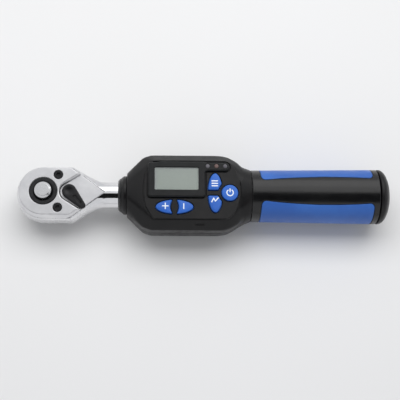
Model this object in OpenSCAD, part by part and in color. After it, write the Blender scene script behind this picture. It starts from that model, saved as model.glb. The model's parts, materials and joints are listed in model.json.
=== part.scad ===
// Digital torque wrench: 3/8 inch ratchet head on a strain beam, display housing and battery handle.
// Origin: drive axis, at the shoulder that the socket seats on. +X runs to the handle, +Z to the display.
// All sizes are in millimetres.

/* [Ratchet head] */
// Radius of the round end of the head
head_r = 16; // [15.6:0.1:16.4]
// Half of the head's thickness, about the tool's centre line
head_half_t = 9.4; // [9.2:0.1:9.6]
// Radius of the round neck behind the head
neck_r = 7.7; // [7.4:0.1:8]
// Side of the drive square
drive_square = 9.53; // [9.4:0.01:9.6]
// Length of the drive square
drive_len = 11; // [10:0.5:12]
// Teeth on the ratchet gear (a multiple of 12, so that they mesh every 30 degrees)
gear_teeth = 72; // [60:12:84]
// Outer radius of the ratchet gear
gear_r = 10; // [9.9:0.05:10]
// Distance from the drive axis to the lever's pivot
lever_x = 15; // [14.9:0.05:15.1]
// Angle of the lever's tail from the centre line, at rest on one side
lever_angle = 47.5; // [46:0.5:48]

/* [Housing] */
// Width of the housing across its waist
housing_w = 45.8; // [45:0.2:46]
// Thickness of the housing from deck to back
housing_t = 28.4; // [28:0.1:29]
// Wall thickness of the housing shells
wall = 1.8; // [1.6:0.1:2]
// How far a key travels
key_travel = 0.8; // [0.5:0.1:0.8]
// How far the keys stand above the deck
key_proud = 1.2; // [1:0.1:1.5]

/* [Handle] */
// Radius of the grip where it meets the housing
grip_r0 = 15.4; // [15.2:0.1:15.6]
// Radius of the grip at the end cap
grip_r1 = 16.3; // [16:0.1:16.5]
// Depth of the coloured inserts in the grip
insert_t = 1.6; // [1.2:0.1:2]
// Outer radius of the steel tube in the handle
tube_r = 12.4; // [12.3:0.05:12.5]

/* [Hidden] */
$fn = 64;
eps = 0.02;
hull_fn = 32;

// The tool's centre line lies this far above the shoulder; heights below are measured from it.
shoulder_drop = 0.6;
axis_z = head_half_t + shoulder_drop;

// Head: heights and outline
seat_z = 5;                       // top of the body, under the cover plate
deck_z = 7.4;                     // part of the plate that the lever turns on
floor_z = -6;                     // floor of the gear cavity
plate_r = head_r - 1.8;           // flat top of the plate
plate_foot_r = head_r - 0.7;      // the plate's drafted foot
vee_angle = 36.5;                 // slope of the head's sides towards the neck
vee_tip = 34.7;                   // point of the plate
cavity_r = gear_r + 0.3;
hub_r = 8.1;                      // black ring round the release button
lower_hub_r = 8.9;
pocket_r = 5.8;                   // clearance round the lever's boss
pocket_angle = 33;                // slope of the lever pocket's sides
boss_r = 4.2;
tail_r = 2;
tail_len = 11.3;
shaft_r = 2.5;
lever_top = 9.9;
screw_xy = [8.5, 9.85];
screw_head_r = 2.6;
running_gap = 0.06;

// Flare between head and neck: a straight cone that an arc blends into the neck
flare_x = 18;
flare_slope = 30;
flare_blend = 25;
neck_x = 37;
neck_end = 52;
tang_r = 4.5;
tang_end = 66;

// Gear, release button and ball
tooth_h = 0.42;
drive_chamfer = 1;
drive_corner = 0.9;               // flats across the square's corners
gear_top = 4.8;
gear_bottom = -5.8;
hub_top = 9.6;
stem_r = 2.1;
button_r = 5.05;
button_top = 12.4;
button_bottom = 5.6;
spring_floor = -1;
ball_r = 1.6;
ball_proud = 0.6;
ball_z = -16;
ball_y = drive_square / 2 + ball_proud - ball_r;

// Pawl
pawl_swing = 6.6;                 // the pawl rocks this far as the lever goes over
pawl_half = 6.6;                  // half of its width
pawl_room = 1;                    // space beside it in its pocket
mesh_gap = 0.07;
teeth_half = 4.2;                 // the teeth start this far from the pawl's middle
track_r = 3.45;                   // track for the plunger's nose
track_sweep = 84;

// Sensor beam and the two pins that hold it
beam_r = 7;
web_x = [76, 90];                 // holes beside the two thin webs, and the gauges over them
head_pin_x = 60;
head_pin_r = 1.5;
beam_half = 4;
beam_root_half = 6.5;
beam_x = [68, 98.5, 113.6, 124.3];

// Housing
housing_x0 = 48.4;
housing_x1 = 121.3;
half_w = housing_w / 2;
half_t = housing_t / 2;
front_r = 13;
rear_r = 15.8;
waist_z = 7.8;                    // half of the height of the sides
deck_sweep = [105.5, 8.9];        // start and depth of the deck's rear end, half an ellipse
deck_half = 17.6;
swell_x = 116;                    // the rear neck is thickest here
swell_r = 17.8;
swell_half_t = 13.8;
deck_inner = half_t - wall;
board_z = 7.4;
board_t = 1.6;
board_top = board_z + board_t;
front_posts = [61.3, 14];
rear_posts = [110, 14.2];
standoffs = [[67, 12.5], [101.5, 12.5]];
board_x1 = 111.6;
buzzer_xy = [88, -10.2];
sound_slot = [91, -20, 10.8];      // middle of the buzzer's slot, in the near bevel
sound_slot_size = [5.1, 1.3];
sound_slot_tilt = 52;
back_panel = [[68, -11], [104, 11]];
lead_hole_r = 1.7;

// Display: corners of the window, and of the frame round it, on the deck
window = [[64.6, -0.3], [90, 13.1]];
window_lip = 0.95;
lcd_lip = 0.4;
bezel_main = [[60.7, -4.8], [94, 16.3]];
bezel_bar_end = 108.3;
bezel_bar_y = 11;
bezel_top = half_t + 1.3;
led_x = [95.5, 100.6, 105.7];
led_y = 14;
lens_r = 1.3;

// Keys: two ellipses, each cut in two, and a circle
pair_c = [76.15, -10.5];
pair_r = [10.75, 4.1];
pair_gap = 1.3;                   // half of the gap between plus and minus
notch_x = 4.25;                   // a circle notches each of them where they meet
notch_r = 6.8;
menu_c = [99.8, -2];
menu_r = [4.2, 11.7];
menu_y = [-3.75, -0.3];           // the gap between the two menu keys
power_c = [108.3, -2];
power_r = 4.75;
power_clear = 2.2;
key_gap = 0.25;
key_flange = 0.6;
peg_r = 1.4;
plus_peg = [70.8, -10.5];
minus_peg = [81.5, -10.5];
mode_peg = [98.6, 3.4];
track_peg = [98.6, -7.4];
switch_h = 0.8;
plunger_h = 1.2;

// Handle
grip_x0 = 121.5;
grip_x1 = 196.8;
insert_x = [127, 193.4];
insert_corner_r = 2.8;
cap_x = 197.5;
cap_end = 204.9;
cap_rim = 1;                      // straight part of the cap's rim
tube_x0 = 113.5;
tube_x1 = 196;
tube_inner = tube_r - 1.05;
plug_r = tube_inner - 0.08;
plug_x = 189.4;
plug_recess_r = 9.6;
seal_x = 194.4;                   // the seal's groove in the plug
seal_groove_r = 9.3;
pin_x = 118;                      // pin that holds the beam in the tube
pin_r = 2;
lead_z = 8.2;                     // height of the battery leads
cell_r = 5.2;
cell_y = 5.35;
cell_x0 = 145;
cell_len = 44.5;
cell_tip = 0.8;
cell_tip_r = 1.9;
carrier_x0 = cell_x0 - 4.2;
carrier_end = 188.9;

// ---------- Shared shapes ----------
function arc(c, r, a0, a1, n = 24) =
    [for (i = [0:n]) let (a = a0 + (a1 - a0) * i / n) [c[0] + r * cos(a), c[1] + r * sin(a)]];

function oval(c, r, n = 48) =
    [for (i = [0:n - 1]) let (a = 360 * i / n) [c[0] + r[0] * cos(a), c[1] + r[1] * sin(a)]];

// A shape that is the same on both sides of the X axis, from its upper half
function both_sides(half) = concat(half, [for (i = [len(half) - 1:-1:0]) [half[i][0], -half[i][1]]]);

// The plate's outline: round at the drive, straight sides, and a point at the neck
function teardrop(r) =
    let (tip = vee_tip + (r - plate_r) / sin(vee_angle))
    concat([[tip, 0], [tip - r / tan(vee_angle), r]], arc([0, 0], r, 90, 270, 32),
        [[tip - r / tan(vee_angle), -r]]);

// The head's outline below the plate
function head_outline(r) =
    concat([[22, r - 3.5], [16.8, r - 0.5]], arc([0, 0], r, 90, 270, 32), [[16.8, 0.5 - r], [22, 3.5 - r]]);

// The body ring at each step along a helix
function coil_points(r, wire, pitch, turns, steps, sides) =
    [for (i = [0:steps], j = [0:sides - 1])
        let (a = 360 * turns * i / steps, b = 360 * j / sides, rr = r + wire * cos(b))
        [rr * cos(a), rr * sin(a), wire + pitch * turns * i / steps + wire * sin(b)]];

module at_axis() {
    translate([0, 0, axis_z])
        children();
}

module along_x(x) {
    translate([x, 0, 0])
        rotate([0, 90, 0])
            children();
}

module slab(z0, z1) {
    translate([0, 0, z0])
        linear_extrude(z1 - z0)
            children();
}

module level(z, pts) {
    translate([0, 0, z - eps])
        linear_extrude(eps)
            polygon(pts);
}

// A rectangle from its low and high corners, grown by a lip
module rectangle(corners, lip = 0) {
    translate([corners[0][0] - lip, corners[0][1] - lip])
        square([corners[1][0] - corners[0][0] + 2 * lip, corners[1][1] - corners[0][1] + 2 * lip]);
}

module disc_x(x, r, len, fn = 64) {
    along_x(x)
        cylinder(r = r, h = len, $fn = fn);
}

module tube_x(x, r_out, r_in, len) {
    difference() {
        disc_x(x, r_out, len);
        disc_x(x - 1, r_in, len + 2);
    }
}

// A round-wire spring that stands on z = 0
module coil(r, wire, len, turns, sides = 8, per_turn = 16) {
    steps = round(turns * per_turn);
    pts = coil_points(r, wire, (len - 2 * wire) / turns, turns, steps, sides);
    skin = [for (i = [0:steps - 1], j = [0:sides - 1])
        let (a = i * sides + j, b = i * sides + (j + 1) % sides)
        [a, b, b + sides, a + sides]];
    ends = [[for (j = [sides - 1:-1:0]) j], [for (j = [0:sides - 1]) steps * sides + j]];
    polyhedron(points = pts, faces = concat(skin, ends));
}

// ---------- Ratchet head ----------
module plate_envelope() {
    hull() {
        level(seat_z + eps, teardrop(plate_foot_r));
        level(head_half_t, teardrop(plate_r));
    }
}

module flare() {
    cone_end = neck_x - flare_blend * sin(flare_slope);
    cone_end_r = neck_r + flare_blend * (1 - cos(flare_slope));
    start_r = cone_end_r + (cone_end - flare_x) * tan(flare_slope);
    blend = [for (i = [0:8]) let (a = flare_slope * (1 - i / 8))
        [neck_r + flare_blend * (1 - cos(a)), neck_x - flare_blend * sin(a)]];
    intersection() {
        along_x(0)
            rotate_extrude()
                polygon(concat([[0, flare_x], [start_r, flare_x]], blend,
                    [[neck_r, neck_end], [0, neck_end]]));
        translate([flare_x - 1, -head_r, -8.6])
            cube([neck_end, 2 * head_r, 8.6 + deck_z - 0.15]);
    }
}

module head_block() {
    hull() {
        level(eps - head_half_t, head_outline(head_r - 1.7));
        level(-5.5, head_outline(head_r));
        level(2.5, head_outline(head_r));
        level(seat_z, head_outline(head_r - 0.5));
    }
}

module head_body() {
    at_axis() color("silver") difference() {
        union() {
            head_block();
            flare();
            disc_x(neck_end, tang_r, tang_end - neck_end);
        }
        // seat for the cover plate
        plate_envelope();
        slab(seat_z, head_half_t)
            polygon(teardrop(plate_r + 0.03));
        // gear cavity and the bearing for its lower hub
        slab(floor_z, seat_z + 1)
            circle(cavity_r);
        translate([0, 0, -head_half_t - 1])
            cylinder(r = lower_hub_r + running_gap, h = 5);
        // pocket for the pawl, and the lever shaft's blind bore
        slab(floor_z, seat_z + 1)
            translate([gear_r / 2, -pawl_half - pawl_room])
                square([lever_x, 2 * (pawl_half + pawl_room)]);
        translate([lever_x, 0, -7.9])
            cylinder(r = shaft_r + running_gap, h = 4);
        for (side = [-1, 1])
            translate([screw_xy[0], side * screw_xy[1], -3])
                cylinder(r = 1.25, h = 12);
        // hole for the pin that holds the tang in the beam
        head_pin_hole();
    }
}

module head_pin_hole() {
    translate([head_pin_x, 0, -10])
        cylinder(r = head_pin_r, h = 20);
}

// The lever's pocket in plan: round at the boss, with two straight sides
module lever_pocket() {
    reach = 30;
    upper = [lever_x - pocket_r * sin(pocket_angle), pocket_r * cos(pocket_angle)];
    polygon(concat(
        arc([lever_x, 0], pocket_r, 90 + pocket_angle, 270 - pocket_angle),
        [[upper[0] + reach * cos(pocket_angle), -upper[1] - reach * sin(pocket_angle)],
        [upper[0] + reach * cos(pocket_angle), upper[1] + reach * sin(pocket_angle)]]));
}

module cover_plate() {
    at_axis() color("gainsboro") difference() {
        union() {
            intersection() {
                plate_envelope();
                difference() {
                    translate([-2 * head_r, -2 * head_r, 0])
                        cube([4 * head_r, 4 * head_r, 4 * head_r]);
                    slab(-1, head_r)
                        lever_pocket();
                }
            }
            slab(seat_z, deck_z)
                polygon(teardrop(plate_r));
        }
        cylinder(r = hub_r + 0.12, h = head_r);
        translate([lever_x, 0, 0])
            cylinder(r = shaft_r + running_gap, h = head_r);
        for (side = [-1, 1])
            translate([screw_xy[0], side * screw_xy[1], 0]) {
                cylinder(r = 1.4, h = head_r);
                translate([0, 0, head_half_t - 2.2])
                    cylinder(r = screw_head_r + 0.1, h = 5);
            }
    }
}

module cap_screw(head_radius, head_h, thread_r, len) {
    difference() {
        union() {
            cylinder(r = head_radius, h = head_h);
            translate([0, 0, -len])
                cylinder(r = thread_r, h = len);
        }
        translate([0, 0, head_h - 1.3])
            cylinder(r = head_radius * 0.48, h = 2, $fn = 6);
    }
}

module cover_screws() {
    at_axis() color("dimgray")
        for (side = [-1, 1])
            translate([screw_xy[0], side * screw_xy[1], head_half_t - 2.15])
                cap_screw(screw_head_r, 2.2, 1.2, 8);
}

// Gear profile, grown outwards by a clearance
module gear_profile(gap) {
    pitch = 360 / gear_teeth;
    polygon([for (i = [0:gear_teeth - 1], k = [0, 1])
        let (a = pitch * (i + k / 2), r = (k == 0 ? gear_r : gear_r - tooth_h) + gap)
        [r * cos(a), r * sin(a)]]);
}

module drive_square_solid() {
    half_diagonal = drive_square / sqrt(2);
    across = half_diagonal - drive_corner;
    tip = drive_chamfer + 0.2;
    translate([0, 0, -axis_z - drive_len])
        intersection() {
            translate([-drive_square / 2, -drive_square / 2, 0])
                cube([drive_square, drive_square, drive_len + 1]);
            rotate([0, 0, 45])
                translate([-across, -across, 0])
                    cube([2 * across, 2 * across, drive_len + 1]);
            union() {
                cylinder(r1 = half_diagonal - drive_chamfer, r2 = half_diagonal + 0.2, h = tip);
                translate([0, 0, tip])
                    cylinder(r = half_diagonal + 0.2, h = drive_len);
            }
        }
}

module drive_gear() {
    at_axis() color("#26262a") difference() {
        union() {
            slab(gear_bottom, gear_top)
                gear_profile(0);
            translate([0, 0, gear_top - 1])
                cylinder(r = hub_r, h = hub_top - gear_top + 1);
            translate([0, 0, -axis_z])
                cylinder(r = lower_hub_r, h = axis_z + gear_bottom + 1);
            drive_square_solid();
        }
        translate([0, 0, spring_floor])
            cylinder(r = button_r + 0.1, h = 20);
        translate([0, 0, -axis_z - drive_len + 1.2])
            cylinder(r = stem_r + running_gap, h = 20);
        translate([0, 0, ball_z])
            rotate([90, 0, 0])
                cylinder(r = ball_r + 0.04, h = 10);
    }
}

module quick_release_button() {
    neck = stem_r - 0.75;
    foot_z = -axis_z - drive_len + 3.6;
    at_axis() color("lightgray")
        rotate_extrude()
            polygon([[0, button_top], [button_r - 1.1, button_top], [button_r - 0.4, button_top - 0.25],
                [button_r, button_top - 0.9], [button_r, button_bottom], [stem_r, button_bottom],
                [stem_r, ball_z + 5.6], [neck, ball_z + 4.4], [neck, ball_z + 2], [stem_r, ball_z - 0.6],
                [stem_r, foot_z], [0, foot_z]]);
}

module quick_release_spring() {
    at_axis() color("darkgray")
        translate([0, 0, spring_floor])
            coil(3.5, 0.4, button_bottom - spring_floor, 4.5);
}

module detent_ball() {
    at_axis() color("gray")
        translate([0, -ball_y, ball_z])
            sphere(r = ball_r);
}

// The pawl in plan, as it stands with its upper teeth in mesh
module pawl_profile() {
    difference() {
        intersection() {
            translate([gear_r / 2 + 0.9, -pawl_half])
                square([lever_x - gear_r / 2 + 2.5, 2 * pawl_half]);
            translate([lever_x - 0.5, 0])
                circle(9.2);
        }
        gear_profile(mesh_gap);
        turned_about_lever(pawl_swing)
            gear_profile(mesh_gap);
        // only the ends carry teeth
        turned_about_lever(pawl_swing / 2)
            intersection() {
                circle(gear_r + 0.75);
                translate([0, -teeth_half])
                    square([gear_r + 2, 2 * teeth_half]);
            }
        translate([lever_x, 0])
            circle(shaft_r + running_gap);
    }
}

module turned_about_lever(angle) {
    translate([lever_x, 0])
        rotate(angle)
            translate([-lever_x, 0])
                children();
}

module pawl() {
    at_axis() color("slategray") difference() {
        slab(floor_z + 0.2, seat_z - 0.4)
            pawl_profile();
        // track for the plunger's nose
        slab(-1.3, 1.3)
            polygon(concat([[lever_x, 0]],
                arc([lever_x, 0], track_r, 180 - track_sweep, 180 + track_sweep)));
    }
}

module lever_blade(z0, z1, inset) {
    slab(z0, z1)
        hull() {
            circle(boss_r - inset, $fn = hull_fn);
            translate([tail_len, 0])
                circle(tail_r - inset, $fn = hull_fn);
        }
}

module direction_lever() {
    at_axis() color("#2a2a2e")
        translate([lever_x, 0, 0])
            rotate([0, 0, -lever_angle])
                difference() {
                    union() {
                        lever_blade(deck_z + 0.1, lever_top - 0.5, 0);
                        lever_blade(lever_top - 0.6, lever_top, 0.45);
                        translate([0, 0, -7.8])
                            cylinder(r = shaft_r, h = deck_z + 8);
                    }
                    // dimple on the boss and thumb groove on the tail
                    translate([0, 0, lever_top + 5.6])
                        sphere(r = 6);
                    translate([tail_len * 0.38, -0.55, lever_top - 0.4])
                        cube([tail_len * 0.58, 1.1, 2]);
                    // hole for the plunger and its spring
                    translate([1.6, 0, 0])
                        rotate([0, -90, 0])
                            cylinder(r = 1.1, h = 8);
                }
}

module in_lever() {
    at_axis()
        translate([lever_x, 0, 0])
            rotate([0, 0, -lever_angle])
                rotate([0, -90, 0])
                    children();
}

module lever_plunger() {
    in_lever() color("gray")
        rotate_extrude()
            polygon([[0, 1], [1.04, 1], [1.04, 2.5], [0.75, 3.1], [0, 3.35]]);
}

module lever_spring() {
    in_lever() color("darkgray")
        translate([0, 0, -1.6])
            coil(0.75, 0.18, 2.6, 3);
}

// ---------- Neck and sensor ----------
module front_seal() {
    at_axis() color("#1c1c1e")
        along_x(43.3)
            rotate_extrude()
                polygon([[neck_r + 0.03, 0], [8.9, 0], [9.9, 1.1], [10, 1.5], [neck_r + 0.03, 1.5]]);
}

module front_collar() {
    at_axis() color("#232325")
        along_x(44.8)
            rotate_extrude()
                polygon([[neck_r + 0.03, 0], [9.7, 0], [11, 1.1], [11.4, 1.6], [11.4, 3.6], [8.4, 3.6],
                    [8.4, 6], [neck_r + 0.03, 6]]);
}

module torque_beam() {
    at_axis() color("lightsteelblue") difference() {
        union() {
            disc_x(neck_end + 0.2, beam_r, beam_x[0] - neck_end);
            translate([beam_x[0], -beam_half, 1 - beam_r])
                cube([beam_x[1] - beam_x[0], 2 * beam_half, 2 * (beam_r - 1)]);
            translate([beam_x[1] - 0.5, -beam_root_half, -beam_root_half])
                cube([beam_x[2] - beam_x[1] + 0.5, 2 * beam_root_half, 2 * beam_root_half]);
            disc_x(beam_x[2] - 0.2, plug_r, beam_x[3] - beam_x[2] + 0.2);
        }
        disc_x(neck_end - 1, tang_r + 0.03, tang_end - neck_end + 1.5);
        // windows that leave two thin webs under the gauges
        for (x = web_x)
            translate([x, 0, -10])
                cylinder(r = 2.8, h = 20);
        translate([web_x[0], -1, -10])
            cube([web_x[1] - web_x[0], 2, 20]);
        // pin holes, and the way through for the battery leads
        head_pin_hole();
        tube_pin_hole();
        translate([0, 0, lead_z])
            disc_x(beam_x[2] - 1.6, lead_hole_r, 14);
    }
}

module tube_pin_hole() {
    translate([pin_x, -20, 0])
        rotate([-90, 0, 0])
            cylinder(r = pin_r, h = 40);
}

module head_pin() {
    at_axis() color("gray")
        translate([head_pin_x, 0, -6.6])
            cylinder(r = head_pin_r - 0.02, h = 13.2);
}

module tube_pin() {
    at_axis() color("gray")
        translate([pin_x, -12.2, 0])
            rotate([-90, 0, 0])
                cylinder(r = pin_r - 0.03, h = 24.4);
}

module strain_gauges() {
    at_axis() color("goldenrod")
        for (side = [-1, 1], x = web_x)
            translate([x - 3, side * (beam_half + 0.1) - 0.1, -2])
                cube([6, 0.2, 4]);
}

module gauge_wires() {
    at_axis() color("firebrick")
        for (side = [-1, 1], x = web_x)
            translate([x, side * (beam_half + 0.65), 0]) {
                cylinder(r = 0.4, h = board_z, $fn = 16);
                sphere(r = 0.4, $fn = 16);
            }
}

// ---------- Housing ----------
// The outline of the flat deck, and of the wide waist
function deck_outline() =
    both_sides(concat([[58.4, 3], [59.4, 9.8], [63.8, deck_half]],
        [for (a = [0:14:84]) [deck_sweep[0] + deck_sweep[1] * sin(a), deck_half * cos(a)]]));
function waist_outline() =
    both_sides([[57.2, half_w - 1.7], [62.5, half_w - 0.1], [104.8, half_w], [108, half_w - 0.4],
        [110.5, half_w - 1.5], [113, half_w - 2.9], [swell_x, half_w - 4.6]]);

module inset_level(z, pts, inset) {
    translate([0, 0, z - eps])
        linear_extrude(eps)
            offset(delta = -inset)
                polygon(pts);
}

module rear_section(inset) {
    intersection() {
        disc_x(swell_x, swell_r - inset, eps, hull_fn);
        translate([0, -swell_r, inset / 2 - swell_half_t])
            cube([2 * swell_x, 2 * swell_r, 2 * swell_half_t - inset]);
    }
}

// The housing's outer form, or its cavity where inset is the wall. reach moves the ends outwards.
module housing_form(inset, reach) {
    side_z = waist_z - 0.4 * inset;
    hull() {
        inset_level(half_t - inset, deck_outline(), inset);
        inset_level(inset - half_t + eps, deck_outline(), inset);
        inset_level(side_z, waist_outline(), inset);
        inset_level(eps - side_z, waist_outline(), inset);
        disc_x(housing_x0 + inset, front_r - inset, eps, hull_fn);
        rear_section(inset);
    }
    hull() {
        rear_section(inset);
        disc_x(housing_x1 - eps + reach, rear_r - inset, eps, hull_fn);
    }
}

module key_holes(gap) {
    plus_shape(gap);
    minus_shape(gap);
    mode_shape(gap);
    track_shape(gap);
    power_shape(gap);
}

module post_places() {
    for (p = [front_posts, rear_posts], side = [-1, 1])
        translate([p[0], side * p[1], 0])
            children();
}

module upper_housing() {
    at_axis() color("#2b2b2d") difference() {
        union() {
            difference() {
                intersection() {
                    housing_form(0, 0);
                    slab(0, 40)
                        translate([0, -50])
                            square([200, 100]);
                }
                housing_form(wall, 2);
            }
            // screw posts
            intersection() {
                housing_form(wall / 2, 0);
                post_places()
                    cylinder(r = 2.4, h = 20);
            }
        }
        post_places()
            translate([0, 0, -1])
                cylinder(r = 1, h = 9);
        slab(board_top, half_t + 1)
            key_holes(key_gap);
        // window and the three indicator holes
        slab(board_top, half_t + 1)
            rectangle(window, 0.6);
        for (x = led_x)
            translate([x, led_y, 0])
                cylinder(r = lens_r + 0.1, h = 20);
        disc_x(40, 8.5, 20);
        // sound slot, square to the near bevel
        translate(sound_slot)
            rotate([sound_slot_tilt, 0, 0])
                translate([0, 0, -6])
                    linear_extrude(12)
                        offset(r = sound_slot_size[1] / 2, $fn = hull_fn)
                            square([sound_slot_size[0] - sound_slot_size[1], eps], center = true);
    }
}

module lower_housing() {
    at_axis() color("#29292b") difference() {
        union() {
            difference() {
                intersection() {
                    housing_form(0, 0);
                    slab(-40, 0)
                        translate([0, -50])
                            square([200, 100]);
                }
                housing_form(wall, 2);
            }
            intersection() {
                housing_form(wall / 2, 0);
                post_places()
                    translate([0, 0, -20])
                        cylinder(r = 3.4, h = 20);
            }
            for (p = standoffs, side = [-1, 1])
                translate([p[0], side * p[1], wall / 2 - half_t])
                    cylinder(r = 1.8, h = board_z + half_t - wall / 2);
        }
        post_places() {
            translate([0, 0, -20])
                cylinder(r = 1.3, h = 30);
            translate([0, 0, -30])
                cylinder(r = 2.5, h = 20);
        }
        disc_x(40, 8.5, 20);
        // shallow blank panel on the back
        slab(-half_t - 1, 0.4 - half_t)
            rectangle(back_panel);
    }
}

module housing_screws() {
    at_axis() color("dimgray")
        post_places()
            translate([0, 0, -10.05])
                rotate([180, 0, 0])
                    cap_screw(2.3, 1.8, 1, 17.5);
}

module display_bezel() {
    bar_x = bezel_main[0][0] + 5;
    bar_r = (bezel_main[1][1] - bezel_bar_y) / 2;
    at_axis() color("#202124") difference() {
        slab(half_t, bezel_top)
            offset(r = 1, $fn = hull_fn)
                offset(delta = -1)
                    union() {
                        rectangle(bezel_main);
                        translate([bar_x, bezel_bar_y])
                            square([bezel_bar_end - bar_r - bar_x, 2 * bar_r]);
                        translate([bezel_bar_end - bar_r, bezel_bar_y + bar_r])
                            circle(bar_r);
                    }
        slab(half_t - 1, bezel_top + 1)
            rectangle(window);
        // rebate that holds the clear window
        slab(half_t - 1, half_t + 0.8)
            rectangle(window, window_lip + 0.05);
        for (x = led_x)
            translate([x, led_y, 0])
                cylinder(r = lens_r, h = 20);
    }
}

module display_window() {
    at_axis() color("lightcyan", 0.4)
        slab(half_t + 0.05, half_t + 0.75)
            rectangle(window, window_lip);
}

module lcd_panel() {
    at_axis() color("#96a096")
        slab(half_t - 2.2, half_t - 0.1)
            rectangle(window, lcd_lip);
}

module backlight() {
    at_axis() color("ivory")
        slab(board_top + 0.05, half_t - 2.25)
            rectangle(window, lcd_lip);
}

module indicator_lenses() {
    at_axis() color("dimgray")
        for (x = led_x)
            translate([x, led_y, half_t - wall - 0.4])
                cylinder(r = lens_r - 0.03, h = wall + 1.5);
}

module status_leds() {
    colours = ["seagreen", "firebrick", "seagreen"];
    at_axis()
        for (i = [0:2])
            translate([led_x[i], led_y, board_top])
                color(colours[i])
                    cylinder(r = 1, h = 2.6);
}

module circuit_board() {
    at_axis() color("darkgreen") difference() {
        slab(board_z, board_top)
            polygon(both_sides([[64.5, 15.2], [107, 15.2], [107, 11], [board_x1, 11]]));
        post_places()
            cylinder(r = 2.6, h = 20);
    }
}

module circuit_chips() {
    at_axis() color("#303030")
        slab(board_z - 1.1, board_z) {
            translate([72, 7])
                square([7, 7]);
            translate([92, 7])
                square([5, 4]);
            translate([72, -13])
                square([6, 4]);
            translate([103, -10.5])
                square([3, 1.6]);
        }
}

module buzzer() {
    at_axis() color("#1e1e20") difference() {
        translate([buzzer_xy[0], buzzer_xy[1], board_z - 4])
            cylinder(r = 4.5, h = 4);
        translate([buzzer_xy[0], buzzer_xy[1], board_z - 5])
            cylinder(r = 0.8, h = 3);
    }
}

// Plan shapes of the five keys, grown by a gap
module plus_shape(gap) {
    offset(delta = gap)
        difference() {
            polygon(oval(pair_c, pair_r));
            translate([pair_c[0] - pair_gap, pair_c[1] - 2 * pair_r[1]])
                square([2 * pair_r[0], 4 * pair_r[1]]);
            translate([pair_c[0] + notch_x, pair_c[1]])
                circle(notch_r);
        }
}

module minus_shape(gap) {
    translate([2 * pair_c[0], 0])
        mirror([1, 0])
            plus_shape(gap);
}

// The part of the menu ellipse between two heights
module menu_half(low, high, gap) {
    offset(delta = gap)
        difference() {
            intersection() {
                polygon(oval(menu_c, menu_r));
                translate([menu_c[0] - menu_r[0], low])
                    square([2 * menu_r[0], high - low]);
            }
            translate(power_c)
                circle(power_r + power_clear);
        }
}

module mode_shape(gap) {
    menu_half(menu_y[1], menu_c[1] + menu_r[1], gap);
}

module track_shape(gap) {
    menu_half(menu_c[1] - menu_r[1], menu_y[0], gap);
}

module power_shape(gap) {
    translate(power_c)
        circle(power_r + gap);
}

// A key: the cap through the deck, a flange under it, and a peg down to its switch
module key_solid(centre, proud) {
    peg_foot = board_top + plunger_h + key_travel + 0.1;
    slab(deck_inner - 1, half_t + proud)
        children(0);
    slab(deck_inner - 1.1, deck_inner - 0.2)
        children(1);
    translate([centre[0], centre[1], peg_foot])
        cylinder(r = peg_r, h = deck_inner - peg_foot);
}

module plus_key() {
    at_axis() color("royalblue")
        key_solid(plus_peg, key_proud) {
            plus_shape(0);
            plus_shape(key_flange);
        }
}

module minus_key() {
    at_axis() color("royalblue")
        key_solid(minus_peg, key_proud) {
            minus_shape(0);
            minus_shape(key_flange);
        }
}

module mode_key() {
    at_axis() color("royalblue")
        key_solid(mode_peg, key_proud) {
            mode_shape(0);
            mode_shape(key_flange);
        }
}

module track_key() {
    at_axis() color("royalblue")
        key_solid(track_peg, key_proud) {
            track_shape(0);
            track_shape(key_flange);
        }
}

module power_key() {
    at_axis() color("royalblue")
        key_solid(power_c, key_proud + 0.2) {
            power_shape(0);
            intersection() {
                power_shape(key_flange);
                translate([0, -20])
                    square([112.1, 40]);
            }
        }
}

module key_switches() {
    at_axis() color("dimgray")
        for (p = [plus_peg, minus_peg, mode_peg, track_peg, power_c])
            translate([p[0], p[1], board_top]) {
                translate([-2, -2, 0])
                    cube([4, 4, switch_h]);
                cylinder(r = 1, h = plunger_h);
            }
}

// ---------- Handle ----------
module handle_tube() {
    at_axis() color("lightgray") difference() {
        tube_x(tube_x0, tube_r, tube_inner, tube_x1 - tube_x0);
        tube_pin_hole();
    }
}

// Radius of the grip at a place along the handle
function grip_radius(x) = grip_r0 + (grip_r1 - grip_r0) * (x - grip_x0) / (grip_x1 - grip_x0);

module grip_shell(inner) {
    along_x(grip_x0)
        rotate_extrude()
            polygon([[inner, 0], [grip_r0 - 0.3, 0], [grip_radius(grip_x0 + 0.3), 0.3],
                [grip_radius(grip_x1 - 0.5), grip_x1 - grip_x0 - 0.5], [grip_r1 - 0.5, grip_x1 - grip_x0],
                [inner, grip_x1 - grip_x0]]);
}

// One insert in plan: its inner edge is a shallow arch, closest to the centre line at the ends
function insert_edge(x) = 8.4 - 0.0014 * pow(x - 168, 2);

module insert_plan(side, gap) {
    r = insert_corner_r;
    x0 = insert_x[0] + r;
    x1 = insert_x[1] - r;
    mirror([0, side > 0 ? 0 : 1])
        polygon(concat(
            [[x0 - r - gap, 20]],
            arc([x0, insert_edge(x0) + r], r + gap, 180, 266, 6),
            [for (i = [1:15]) let (x = x0 + (x1 - x0) * i / 16) [x, insert_edge(x) - gap]],
            arc([x1, insert_edge(x1) + r], r + gap, 274, 360, 6),
            [[x1 + r + gap, 20]]));
}

module insert_solid(side) {
    intersection() {
        grip_shell(grip_r0 - insert_t);
        slab(-30, 30)
            insert_plan(side, 0);
    }
}

module grip_body() {
    at_axis() color("#242426") difference() {
        grip_shell(tube_r + 0.02);
        for (side = [-1, 1])
            intersection() {
                slab(-30, 30)
                    insert_plan(side, 0.04);
                tube_x(grip_x0 - 1, 30, grip_r0 - insert_t - 0.04, grip_x1 - grip_x0 + 2);
            }
    }
}

module left_grip_insert() {
    at_axis() color("#2f5fb5") insert_solid(1);
}

module right_grip_insert() {
    at_axis() color("#2f5fb5") insert_solid(-1);
}

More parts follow.
